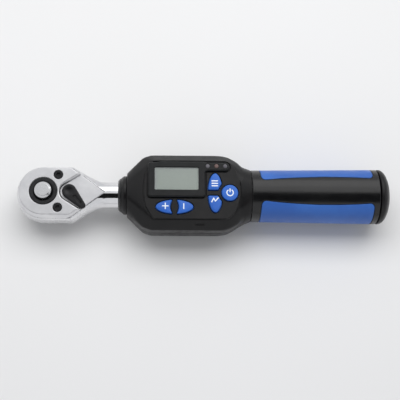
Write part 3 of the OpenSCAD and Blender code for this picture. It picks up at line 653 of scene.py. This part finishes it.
def cover_plate(x, y, z):
    edge = plate_edge(x, y, z)
    pocket = lever_pocket(x, y, z)
    bevel = (z - PLATE_TOP + POCKET_BEVEL - pocket) * HALF_ROOT
    raised = round_max(round_max(edge, z - PLATE_TOP, 0.4), -pocket, 0.1)
    deck = round_max(edge, z - DECK_Z, 0.25)
    plate = round_min(round_max(raised, bevel, 0.15), deck, 0.2)
    plate = np.maximum(plate, SEAT_Z + 0.02 - z)
    plate = without(plate, np.hypot(x, y) - HUB_R - 0.08, 0.3)
    plate = without(plate, circle(x, y, (LEVER_X, 0), LEVER_BORE_R), 0.1)
    for place in SCREW_PLACES:
        well = np.maximum(circle(x, y, place, SCREW_R + 0.14), PLATE_TOP - SCREW_HEAD_H - z)
        plate = without(plate, well, 0.2)
        plate = without(plate, circle(x, y, place, SCREW_SHANK_R + 0.2))
    return plate


def star_recess(x, y, centre, r):
    angle = np.arctan2(y - centre[1], x - centre[0])
    return (np.hypot(x - centre[0], y - centre[1]) - r * (0.9 + 0.14 * np.cos(6 * angle))) * 0.85


def cap_screw(x, y, z, centre, r, head_h, shank_r, length):
    """A flat cap screw with a six-lobed recess. z is from the underside of its head, outwards."""
    head = round_max(circle(x, y, centre, r), between(z, 0, head_h), 0.35)
    head = without(head, np.maximum(star_recess(x, y, centre, r * 0.52), head_h - 1.3 - z), 0.12)
    shank = round_max(circle(x, y, centre, shank_r), between(z, -length, 0.1), 0.2)
    return np.minimum(head, shank)


def direction_lever(x, y, z):
    c, s = math.cos(LEVER_ANGLE), math.sin(LEVER_ANGLE)
    u, v = (x - LEVER_X) * c - y * s, (x - LEVER_X) * s + y * c
    blade = tapered_bar(u, v, BOSS_R, TAIL_R, TAIL_LENGTH)
    # the top falls a little from the boss to the tail's tip
    blade = round_max(blade, z - (LEVER_TOP - 0.03 * np.maximum(u, 0)), 0.7)
    blade = round_max(blade, DECK_Z + 0.1 - z, 0.15)
    dimple = np.sqrt(u * u + v * v + (z - LEVER_TOP - 4.3) ** 2) - 4.85
    groove = tapered_bar(u - 4.9, v, 0.95, 0.7, 4.9)
    groove = round_max(groove, LEVER_TOP - 0.75 - z, 0.3)
    blade = without(without(blade, dimple, 0.3), groove, 0.25)
    shaft = round_max(np.hypot(u, v) - LEVER_SHAFT_R, between(z, -7.8, DECK_Z + 0.5), 0.2)
    lever = np.minimum(blade, shaft)
    plunger_bore = np.maximum(np.hypot(v, z) - 1.1, between(u, -8, 1.6))
    return without(lever, plunger_bore)


def drive_gear(x, y, z):
    """The gear ring with its hub above, its shoulder and square below, and the button's well."""
    top, bottom = drive_high[2], drive_low[2]
    from_axis, angle = np.hypot(x, y), np.arctan2(y, x)
    tooth = np.abs((angle * GEAR_TEETH / (2 * math.pi)) % 1 - 0.5) * 2
    gear = np.maximum((from_axis - GEAR_R - TOOTH_DEPTH * tooth) * 0.6, between(z, -5.8, 4.8))
    hub = round_max(from_axis - HUB_R, between(z, 3, top), 0.35)
    shoulder = round_max(from_axis - SHOULDER_R, between(z, -AXIS_Z, -4.8), 0.3)
    half = SQUARE / 2
    square = rectangle(x, y, (-half, -half), (half, half), 1.0)
    square = round_max(square, between(z, bottom, -9), 0.7)
    solid = np.minimum(np.minimum(gear, hub), round_min(shoulder, square, 0.4))
    well = np.maximum(from_axis - WELL_R, WELL_FLOOR - z)
    solid = without(solid, well, 0.3)
    # the well's mouth is chamfered towards the button
    mouth = HALF_ROOT * (from_axis - WELL_R) - HALF_ROOT * (z - top + 0.9)
    solid = without(solid, mouth, 0.15)
    stem_bore = np.maximum(from_axis - STEM_R - 0.06, bottom + 1.2 - z)
    ball_bore = np.maximum(np.hypot(x, z - BALL_Z) - BALL_BORE_R, y)
    return without(solid, np.minimum(stem_bore, ball_bore))


def make_head():
    field_piece("head_shell", head_body, 0.3, "handle", "chrome_plate", "head_body", material="body_chrome")
    field_piece("ratchet_plate", cover_plate, 0.21, "handle", "chrome_plate", "cover_plate")
    field_piece("reversing_lever", direction_lever, 0.2, "lever", "black_lever", "direction_lever")
    field_piece("drive_square_and_ring", drive_gear, 0.26, "drive", "hardened_steel", "drive_gear")
    r = SCREW_R
    for i, place in enumerate(SCREW_PLACES):
        def screw(x, y, z, place=place):
            z = z - PLATE_TOP + SCREW_HEAD_H - 0.05
            return cap_screw(x, y, z, place, r, SCREW_HEAD_H, SCREW_SHANK_R, 8)
        box = (place[0] - r, place[1] - r, -0.8), (place[0] + r, place[1] + r, PLATE_TOP + 0.1)
        field_piece(f"plate_screw_{i + 1}", screw, 0.14, "handle", "black_steel", "cover_screws", box)
    make_release_button()


def make_release_button():
    """The crown is flat with a bevelled rim. Below it are the stem and the groove for the ball."""
    bottom, top = button_low[2], button_high[2]
    r, shoulder = BUTTON_R, spring_high[2]
    crown = [(top, 0), (top, 3.7), (top - 0.75, r - 0.22), (top - 1.5, r), (shoulder, r), (shoulder, STEM_R)]
    groove_r = STEM_R - 0.75
    shank = [(BALL_Z + 5.6, STEM_R), (BALL_Z + 4.4, groove_r), (BALL_Z + 2, groove_r), (BALL_Z - 0.6, STEM_R),
        (bottom, STEM_R), (bottom, 0)]
    piece = lathe("release_button_crown", rounded(crown, 0.3) + shank, "z", 96)
    finish_piece(piece, "release_button", "bright_chrome", "quick_release_button")
    # the spring under the crown, with a mesh of its own
    low, high = spring_low[2], spring_high[2]
    spring = coil("release_button_spring", SPRING_R, SPRING_WIRE_R, low, high, SPRING_TURNS)
    finish_piece(spring, "drive", "spring_steel", "quick_release_spring")
    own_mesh(spring)


# ---------- Neck rings ----------
def make_rings():
    inner = NECK_R + 0.03
    x0, x1, r = seal_low[0], seal_high[0], seal_high[1]
    profile = [(x1, inner), (x0 + 0.3, inner), (x0, inner + 0.4), (x0, r - 1.3), (x0 + 1.1, r - 0.1), (x1, r),
        (x1, inner + 0.1)]
    finish_piece(lathe("neck_seal", rounded(profile, 0.35)), "handle", "black_rubber", "front_seal")
    x0, x1, r = collar_low[0], COLLAR_FACE, collar_high[1]
    plug_end, plug_r = collar_high[0], 8.4
    profile = [(plug_end, inner), (x0, inner), (x0, r - 1.5), (x0 + 1.3, r - 0.3), (x0 + 1.8, r),
        (x1 - 0.35, r), (x1, r - 0.35), (x1, plug_r), (plug_end, plug_r), (plug_end, inner + 0.1)]
    finish_piece(lathe("neck_collar", rounded(profile, 0.25)), "handle", "black_plastic", "front_collar")


# ---------- Housing ----------
DECK_X0, DECK_HALF_W = 58.4, 17.6
DECK_X1, DECK_SWEEP = 105.5, 8.9     # the key panel's rear edge is half an ellipse from here
DECK = [(DECK_X0, 3), (59.4, 9.8), (63.8, DECK_HALF_W)] + [
    (DECK_X1 + DECK_SWEEP * math.sin(a), DECK_HALF_W * math.cos(a)) for a in np.linspace(0, 1.45, 9)]
WAIST = [(57.2, 20.9), (62.5, HALF_W - 0.1), (104.8, HALF_W), (108, 22.2), (110.5, 21.1), (113, 19.7),
    (115.2, 18.2)]


def hull_planes(points):
    """Normals and offsets of the planes round the points."""
    work = bmesh.new()
    for p in points:
        work.verts.new(p)
    bmesh.ops.convex_hull(work, input=work.verts)
    work.normal_update()
    planes = {
        tuple(round(v, 4) for v in (*f.normal, f.normal.dot(f.verts[0].co)))
        for f in work.faces if f.calc_area() > 1e-4}
    work.free()
    return sorted(planes)


def housing_planes():
    """The planes round the deck, the waist on both sides of the joint line, and the two round ends."""
    shoulder = HALF_T - DECK_STEP
    points = [(x, y, side * shoulder) for x, y in both_sides(DECK) for side in (-1, 1)]
    points += [(x, y, side * WAIST_Z) for x, y in both_sides(WAIST) for side in (-1, 1)]
    turn = np.linspace(0, 2 * math.pi, 40, endpoint=False)
    for x, r in ((HOUSING_X0 - 0.9, 12.5), (119.5, 13.4)):
        points += [(x, r * math.cos(a), r * math.sin(a)) for a in turn]
    return hull_planes(points)


HOUSING_PLANES = housing_planes()


def housing_outside(x, y, z, half):
    """The housing's outer form, from the planes of its upper (half = 1) or lower (half = -1) side."""
    total = -np.inf
    softness = 0.2 + 0.2 * np.clip((x - 98) / 14, 0, 1)
    for nx, ny, nz, offset in HOUSING_PLANES:
        if nz * half > -0.05:
            total = np.logaddexp(total, (nx * x + ny * y + nz * z - offset) / softness)
    body = total * softness
    # the rear neck is round at its end, and grows wider and flatter into the body
    run = np.clip(HOUSING_X1 - x, 0, 7.3)
    wide, high = NECK_END_R + 0.35 * run + 0.018 * run * run, NECK_END_R - 0.28 * run
    neck = (np.hypot(y * NECK_END_R / wide, z * NECK_END_R / high) - NECK_END_R) * 0.85
    return round_min(body, np.maximum(neck, 108 - x), 0.8)


def housing_shell(x, y, z, half):
    """The outer form, and the shell in it, open at the joint line and where the beam comes in."""
    outside = housing_outside(x, y, z, half)
    shell = round_max(round_max(outside, between(x, HOUSING_X0, HOUSING_X1), 0.35), -half * z, 0.22)
    shell = without(shell, np.maximum(outside + WALL, HOUSING_X0 + WALL - x))
    return outside, without(shell, np.maximum(np.hypot(y, z) - BEAM_HOLE_R, x - BEAM_HOLE_END))


def key_plan(name, x, y):
    """Distance from one key's outline."""
    if name in ("plus", "minus"):
        u = x - PAIR_C[0] if name == "plus" else PAIR_C[0] - x
        left = round_max(ellipse(u, y, (0, PAIR_C[1]), PAIR_R), u + 1.3, 0.5)
        return without(left, circle(u, y, (4.25, PAIR_C[1]), 6.8), 0.5)
    if name in ("mode", "track"):
        cut = -0.3 - y if name == "mode" else y + 3.75
        half = round_max(ellipse(x, y, MENU_C, MENU_R), cut, 0.6)
        return without(half, circle(x, y, POWER_C, POWER_R + 2.2), 0.6)
    return circle(x, y, POWER_C, POWER_R)


KEYS = ["plus", "minus", "mode", "track", "power"]
SLOT_C, SLOT_TILT = (91, -20, 10.8), math.radians(52)
SLOT_HALF, SLOT_R, SLOT_DEPTH = 1.9, 0.65, 0.55


def deck_plan(x, y):
    return polygon_distance(x, y, both_sides(DECK))


def bezel_plan(x, y):
    """The display's frame, with the bar that holds the lamps."""
    return round_min(rectangle(x, y, *DISPLAY_FRAME, 1.6), rectangle(x, y, *LAMP_BAR, 2.6), 1.6)


def deck_openings(x, y):
    """Distance from the nearest hole for a key, the display or a lamp."""
    found = rectangle(x, y, window_low, window_high, 0.3)
    for name in KEYS:
        found = np.minimum(found, key_plan(name, x, y) - KEY_GAP)
    for place in LAMP_X:
        found = np.minimum(found, circle(x, y, (place, LAMP_Y), LAMP_R + 0.1))
    return found


def upper_housing(x, y, z):
    shell = housing_shell(x, y, z, 1)[1]
    # the key panel lies in a recess, with a narrow gap round it
    shell = without(shell, np.maximum(deck_plan(x, y) - 0.6, HALF_T - PANEL_T - z), 0.15)
    shell = without(shell, np.maximum(deck_openings(x, y), 9 - z))
    # the buzzer's slot, square to the near bevel
    c, s = math.cos(SLOT_TILT), math.sin(SLOT_TILT)
    across, deep = (y - SLOT_C[1]) * c + (z - SLOT_C[2]) * s, (z - SLOT_C[2]) * c - (y - SLOT_C[1]) * s
    along = np.maximum(np.abs(x - SLOT_C[0]) - SLOT_HALF, 0)
    slot = np.maximum(np.hypot(along, across) - SLOT_R, np.abs(deep) - SLOT_DEPTH)
    return without(shell, slot, 0.3)


def key_panel(x, y, z):
    panel = round_max(deck_plan(x, y), between(z, HALF_T - PANEL_T + 0.04, HALF_T), 0.25)
    panel = without(panel, deck_openings(x, y), 0.25)
    # the frame stands in a shallow channel
    return without(panel, np.maximum(bezel_plan(x, y) - 0.65, HALF_T - CHANNEL_DEPTH - z), 0.15)


BACK_SCREWS = [(x, side * y) for x, y in ((61.3, 14), (110, 14.2)) for side in (-1, 1)]
BACK_SCREW_R, BACK_SEAT_Z = 2.3, -10.05
BACK_PANEL = (68, -11), (104, 11)


def lower_housing(x, y, z):
    outside, shell = housing_shell(x, y, z, -1)
    # a shallow blank panel, and the screws' wells with their posts
    panel = round_max(rectangle(x, y, *BACK_PANEL, 1.5), z + HALF_T - DECK_STEP - 0.45, 0.15)
    shell = without(shell, panel, 0.25)
    for place in BACK_SCREWS:
        post = np.maximum(np.maximum(circle(x, y, place, 3.4), outside + 0.9), between(z, -20, -0.2))
        shell = np.minimum(shell, post)
        shell = without(shell, np.maximum(circle(x, y, place, BACK_SCREW_R + 0.25), z + 10), 0.3)
        shell = without(shell, circle(x, y, place, 1.3))
    return shell


def make_housing():
    box = (HOUSING_X0, -HALF_W, -0.1), (HOUSING_X1, HALF_W, NECK_END_R + 0.1)
    field_piece("display_case_upper", upper_housing, 0.36, "handle", "black_plastic", "upper_housing", box)
    box = (DECK_X0, -DECK_HALF_W, HALF_T - PANEL_T), (DECK_X1 + DECK_SWEEP, DECK_HALF_W, HALF_T)
    field_piece("key_panel", key_panel, 0.28, "handle", "black_plastic", "upper_housing", box)
    box = (HOUSING_X0, -HALF_W, -NECK_END_R - 0.1), (HOUSING_X1, HALF_W, 0.1)
    field_piece("display_case_lower", lower_housing, 0.42, "handle", "black_plastic", "lower_housing", box)
    r = BACK_SCREW_R
    for i, place in enumerate(BACK_SCREWS):
        def screw(x, y, z, place=place):
            return cap_screw(x, y, BACK_SEAT_Z - z, place, r, 1.8, 1, 17.5)
        box = (place[0] - r, place[1] - r, -11.9), (place[0] + r, place[1] + r, 7.5)
        field_piece(f"case_screw_{i + 1}", screw, 0.16, "handle", "black_steel", "housing_screws", box)


# ---------- Display and lamps ----------
def bezel(x, y, z):
    solid = round_max(bezel_plan(x, y), z - BEZEL_TOP, 0.9)
    solid = np.maximum(solid, HALF_T - 0.65 - z)
    grow = 0.6 * (z - BEZEL_TOP + 0.4)
    opening = rectangle(x, y, window_low + 0.95, window_high - 0.95, 0.7) - np.maximum(grow, 0)
    solid = without(solid, opening, 0.12)
    rebate = np.maximum(rectangle(x, y, window_low - 0.05, window_high + 0.05), z - HALF_T - 0.8)
    solid = without(solid, rebate)
    for place in LAMP_X:
        solid = without(solid, circle(x, y, (place, LAMP_Y), LAMP_R + 0.02), 0.2)
    return solid


def make_display():
    field_piece("display_frame", bezel, 0.24, "handle", "gloss_black", "display_bezel")
    bottom, top, r = HALF_T - 2.2, BEZEL_TOP + 0.12, LAMP_R - 0.05
    for i, (place, tint) in enumerate(zip(LAMP_X, ["lamp_grey", "lamp_red", "lamp_grey"])):
        dome = [(top - 0.35 * (1 - math.cos(a)), r * math.sin(a)) for a in np.linspace(0, math.pi / 2, 9)]
        lens = lathe(f"lamp_{i + 1}", dome + [(bottom, r), (bottom, 0)], "z", 40, (place, LAMP_Y))
        finish_piece(lens, "handle", "lamp_lens", "indicator_lenses", material=tint)


# ---------- Keys ----------
def key_crown(name, x, y):
    """Height of a key's top: a shallow dome that falls towards the edge."""
    edge = np.clip(-key_plan(name, x, y) / 2.4, 0, 1)
    top = KEY_TOP + (0.2 if name == "power" else 0.0)
    return top - 0.3 * (1 - edge) ** 2


def key_field(name, x, y, z):
    plan = key_plan(name, x, y)
    cap = round_max(round_max(plan, z - key_crown(name, x, y), 0.45), 11.4 - z, 0.1)
    low, high = KEY_BOXES[name]
    flange = round_max(plan - 0.6, between(z, 11.3, 12.2), 0.1)
    flange = np.maximum(flange, x - high[0])
    peg = np.maximum(circle(x, y, KEY_PEGS[name], 1.4), between(z, low[2], 12))
    return np.minimum(np.minimum(cap, flange), peg)


KEY_BOXES = {name: box_mm(f"{name}_key") for name in KEYS}
KEY_PEGS = {
    "plus": (70.8, -10.5), "minus": (81.5, -10.5), "mode": (98.6, 3.4), "track": (98.6, -7.4),
    "power": POWER_C}
STROKE = 0.36            # half of a printed line's width


def power_mark(x, y):
    """A broken ring with a bar in its gap."""
    u, v = x - POWER_C[0], y - POWER_C[1] + 0.1
    r, open_half = 1.85, math.radians(38)
    angle = np.abs(np.arctan2(u, v))
    ring = np.abs(np.hypot(u, v) - r)
    end = np.hypot(np.abs(u) - r * math.sin(open_half), v - r * math.cos(open_half))
    ring = np.where(angle > open_half, ring, end)
    return np.minimum(ring, segment(u, v, (0, 0.5), (0, 2.3)))


def strokes(*lines):
    """Marks made of straight strokes, each given by its two ends."""
    def distance(x, y):
        found = np.inf
        for a, b in lines:
            found = np.minimum(found, segment(x, y, a, b))
        return found
    return distance


def chain(*points):
    return list(zip(points, points[1:]))


MARKS = {
    "plus": strokes(((69.2, -10.2), (72.4, -10.2)), ((70.8, -11.8), (70.8, -8.6))),
    "minus": strokes(((81.4, -11.8), (81.4, -8.8))),
    "mode": strokes(*(((97.9, y), (101.1, y)) for y in (2.0, 3.5, 5.0))),
    "track": strokes(*chain((97.6, -7.6), (98.8, -5.4), (99.7, -7.2), (101.4, -5.2))),
    "power": power_mark,
}


def make_keys():
    for name in KEYS:
        low, high = KEY_BOXES[name]

        def key(x, y, z, name=name):
            return key_field(name, x, y, z)

        def mark(x, y, z, name=name):
            rise = np.abs(z - key_crown(name, x, y)) - 0.07
            return round_max(MARKS[name](x, y) - STROKE, rise, 0.05)

        body = f"{name}_button"
        field_piece(f"{name}_key_cap", key, 0.2, body, "blue_key", f"{name}_key")
        box = (low[0], low[1], high[2] - 0.45), (high[0], high[1], high[2] + 0.1)
        field_piece(f"{name}_key_mark", mark, 0.11, body, "white_plastic", box=box, material="key_print")


# ---------- Grip and end cap ----------
def grip_radius(x):
    return GRIP_R0 + (GRIP_R1 - GRIP_R0) * (x - GRIP_X0) / (GRIP_X1 - GRIP_X0)


def insert_plan(x, y):
    """Distance from the outline of either insert, seen from above."""
    side = np.abs(y)
    inner = INSERT_Y - 0.0014 * (x - 168) ** 2 - side
    front = INSERT_X0 - 0.05 * (side - 9) - x
    return round_max(round_max(inner, front, INSERT_CORNER), x - INSERT_X1, INSERT_CORNER)


def insert_field(x, y, z, side):
    from_axis = np.hypot(y, z)
    skin = between(from_axis, grip_radius(x) - INSERT_T, grip_radius(x))
    return round_max(round_max(skin, insert_plan(x, y) + 0.08, 0.3), -side * y, 0.1)


def grip_field(x, y, z):
    from_axis = np.hypot(y, z)
    skin = round_max(from_axis - grip_radius(x), between(x, GRIP_X0, GRIP_X1), 0.5)
    skin = np.maximum(skin, GRIP_BORE_R - from_axis)
    pocket = np.maximum(insert_plan(x, y) - 0.1, grip_radius(x) - INSERT_T - 0.05 - from_axis)
    return without(skin, pocket, 0.3)


def end_cap(x, y, z):
    """A domed cap with a threaded plug and a groove for its seal."""
    from_axis, angle = np.hypot(y, z), np.arctan2(z, y)
    dome_start, rim = CAP_X + 1, GRIP_R1
    depth = CAP_END - dome_start
    beyond = np.maximum(x - dome_start, 0)
    dome = (np.hypot(from_axis / rim, beyond / depth) - 1) * depth * 1.3
    dome = np.where(beyond > 0, np.minimum(dome, 30), from_axis - rim)
    dome = round_max(dome, CAP_X - x, 0.45)
    start = cap_low[0]
    thread = np.abs(((x - start) / THREAD_PITCH - angle / (2 * math.pi)) % 1 - 0.5) * 2
    in_thread = np.clip((SEAL_X - 1.2 - x) / 0.4, 0, 1)
    plug = from_axis - PLUG_R + THREAD_DEPTH * np.clip(thread * 1.4 - 0.2, 0, 1) * in_thread
    plug = round_max(plug * 0.75, between(x, start, CAP_X + 1), 0.3)
    groove = np.maximum(GROOVE_R - from_axis, between(x, SEAL_X - 1, SEAL_X + 1))
    plug = without(plug, groove, 0.1)
    recess = np.maximum(from_axis - 9.6, x - start - 1.2)
    return without(np.minimum(dome, plug), recess)


def make_grip():
    field_piece("grip_sleeve", grip_field, 0.5, "handle", "grip_black", "grip_body")
    for name, side in (("left", 1), ("right", -1)):
        def insert(x, y, z, side=side):
            return insert_field(x, y, z, side)
        field_piece(f"{name}_blue_insert", insert, 0.4, "handle", "grip_blue", f"{name}_grip_insert")
    field_piece("battery_cap", end_cap, 0.36, "cap", "black_plastic", "end_cap")


# ---------- CAD nodes that stay ----------
def paint_cad_nodes():
    slots = {part["node"]: part["material_slot"] for part in frame["record"]["subparts"]}
    slots["status_leds"] = "lamp_red"
    for node, piece in frame["nodes"].items():
        slot = "lamp_grey" if slots[node] == "lamp_lens" else slots[node]
        piece.data.materials.clear()
        piece.data.materials.append(MATERIALS[slot])


# ---------- Stage ----------
TARGET = Vector((0.09167, -0.00246, AXIS_Z * MM))    # in metres, like everything below


def add_object(name, data):
    thing = bpy.data.objects.new(name, data)
    bpy.context.scene.collection.objects.link(thing)
    return thing


def make_camera():
    """Looks down from 75 degrees, a little from the head's side, with the far end turned slightly down."""
    elevation, turn, roll, distance = math.radians(75), math.radians(3.1), math.radians(0.37), 0.5355
    flat = math.cos(elevation)
    back = Vector((-math.sin(turn), -math.cos(turn) * flat, math.cos(turn) * math.sin(elevation)))
    level = (Vector((1, 0, 0)) - back * back.x).normalized()
    right = level * math.cos(roll) + back.cross(level) * math.sin(roll)
    axes = Matrix((right, back.cross(right), back)).transposed().to_4x4()
    camera = add_object("camera", bpy.data.cameras.new("camera"))
    camera.data.lens = 81
    camera.data.sensor_width = 36
    camera.data.clip_start, camera.data.clip_end = 0.01, 20
    camera.matrix_world = Matrix.Translation(TARGET + back * distance) @ axes
    bpy.context.scene.camera = camera


def face_target(thing, place):
    thing.location = place
    thing.rotation_mode = "QUATERNION"
    thing.rotation_quaternion = (TARGET - Vector(place)).to_track_quat("-Z", "Y")


def flat_card(name, size, material):
    x, y = size[0] / 2, size[1] / 2
    mesh = bpy.data.meshes.new(name)
    mesh.from_pydata([(-x, -y, 0), (x, -y, 0), (x, y, 0), (-x, y, 0)], [], [(0, 1, 2, 3)])
    mesh.materials.append(material)
    card = add_object(name, mesh)
    return card


def reflection_card(name, size, place, grey, glow):
    """A card that shows only in reflections."""
    m = Maker(name, Roughness=1.0, Base_Color=(grey, grey, grey, 1))
    m.shader.inputs["Emission Color"].default_value = (1, 1, 1, 1)
    m.shader.inputs["Emission Strength"].default_value = glow
    card = flat_card(name, size, m.material)
    face_target(card, place)
    card.visible_camera = card.visible_diffuse = card.visible_shadow = card.visible_transmission = False


def make_softbox():
    """The main light. Reflections see its cards instead."""
    light = bpy.data.lights.new("softbox", "AREA")
    light.shape = "RECTANGLE"
    light.size, light.size_y = 0.9, 0.45
    light.energy = 4.8
    softbox = add_object("softbox", light)
    face_target(softbox, (TARGET.x, 0.27, 0.70))
    softbox.visible_glossy = False


def make_stage():
    m = Maker("floor_paper", Roughness=0.9, Specular_IOR_Level=0.2)
    m.colour(m.noise(0.002, 3), (0.80, 0.80, 0.80), (0.82, 0.82, 0.825))
    m.bump(m.noise(1.0, 3), 0.02, 0.1)
    floor = flat_card("floor", (6, 6), m.material)
    floor.location = (TARGET.x, 0, cad_low.z - 0.0002)
    # the dark card is the camera's own side of the studio, and the bright ones are the softbox
    reflection_card("camera_side_card", (1.1, 0.45), (TARGET.x, -0.178, 0.573), 0.004, 0.0)
    reflection_card("softbox_face", (0.86, 0.43), (TARGET.x + 0.22, 0.496, 0.53), 0.0, 2.0)
    reflection_card("softbox_edge", (0.86, 0.306), (TARGET.x + 0.22, 0.184, 0.705), 0.0, 1.6)
    world = bpy.data.worlds.new("studio")
    world.use_nodes = True
    nodes, links = world.node_tree.nodes, world.node_tree.links
    background = nodes["Background"]
    background.inputs["Color"].default_value = (0.95, 0.96, 0.98, 1)
    # reflections see brighter walls than the light that the walls give
    path = nodes.new("ShaderNodeLightPath")
    strength = nodes.new("ShaderNodeMapRange")
    strength.inputs["To Min"].default_value = 0.84
    strength.inputs["To Max"].default_value = 0.475
    links.new(path.outputs["Is Diffuse Ray"], strength.inputs["Value"])
    links.new(strength.outputs["Result"], background.inputs["Strength"])
    bpy.context.scene.world = world
    make_softbox()
    bpy.context.scene.view_settings.view_transform = "Standard"


make_camera()
make_stage()
paint_cad_nodes()
make_head()
make_rings()
make_housing()
make_display()
make_keys()
make_grip()
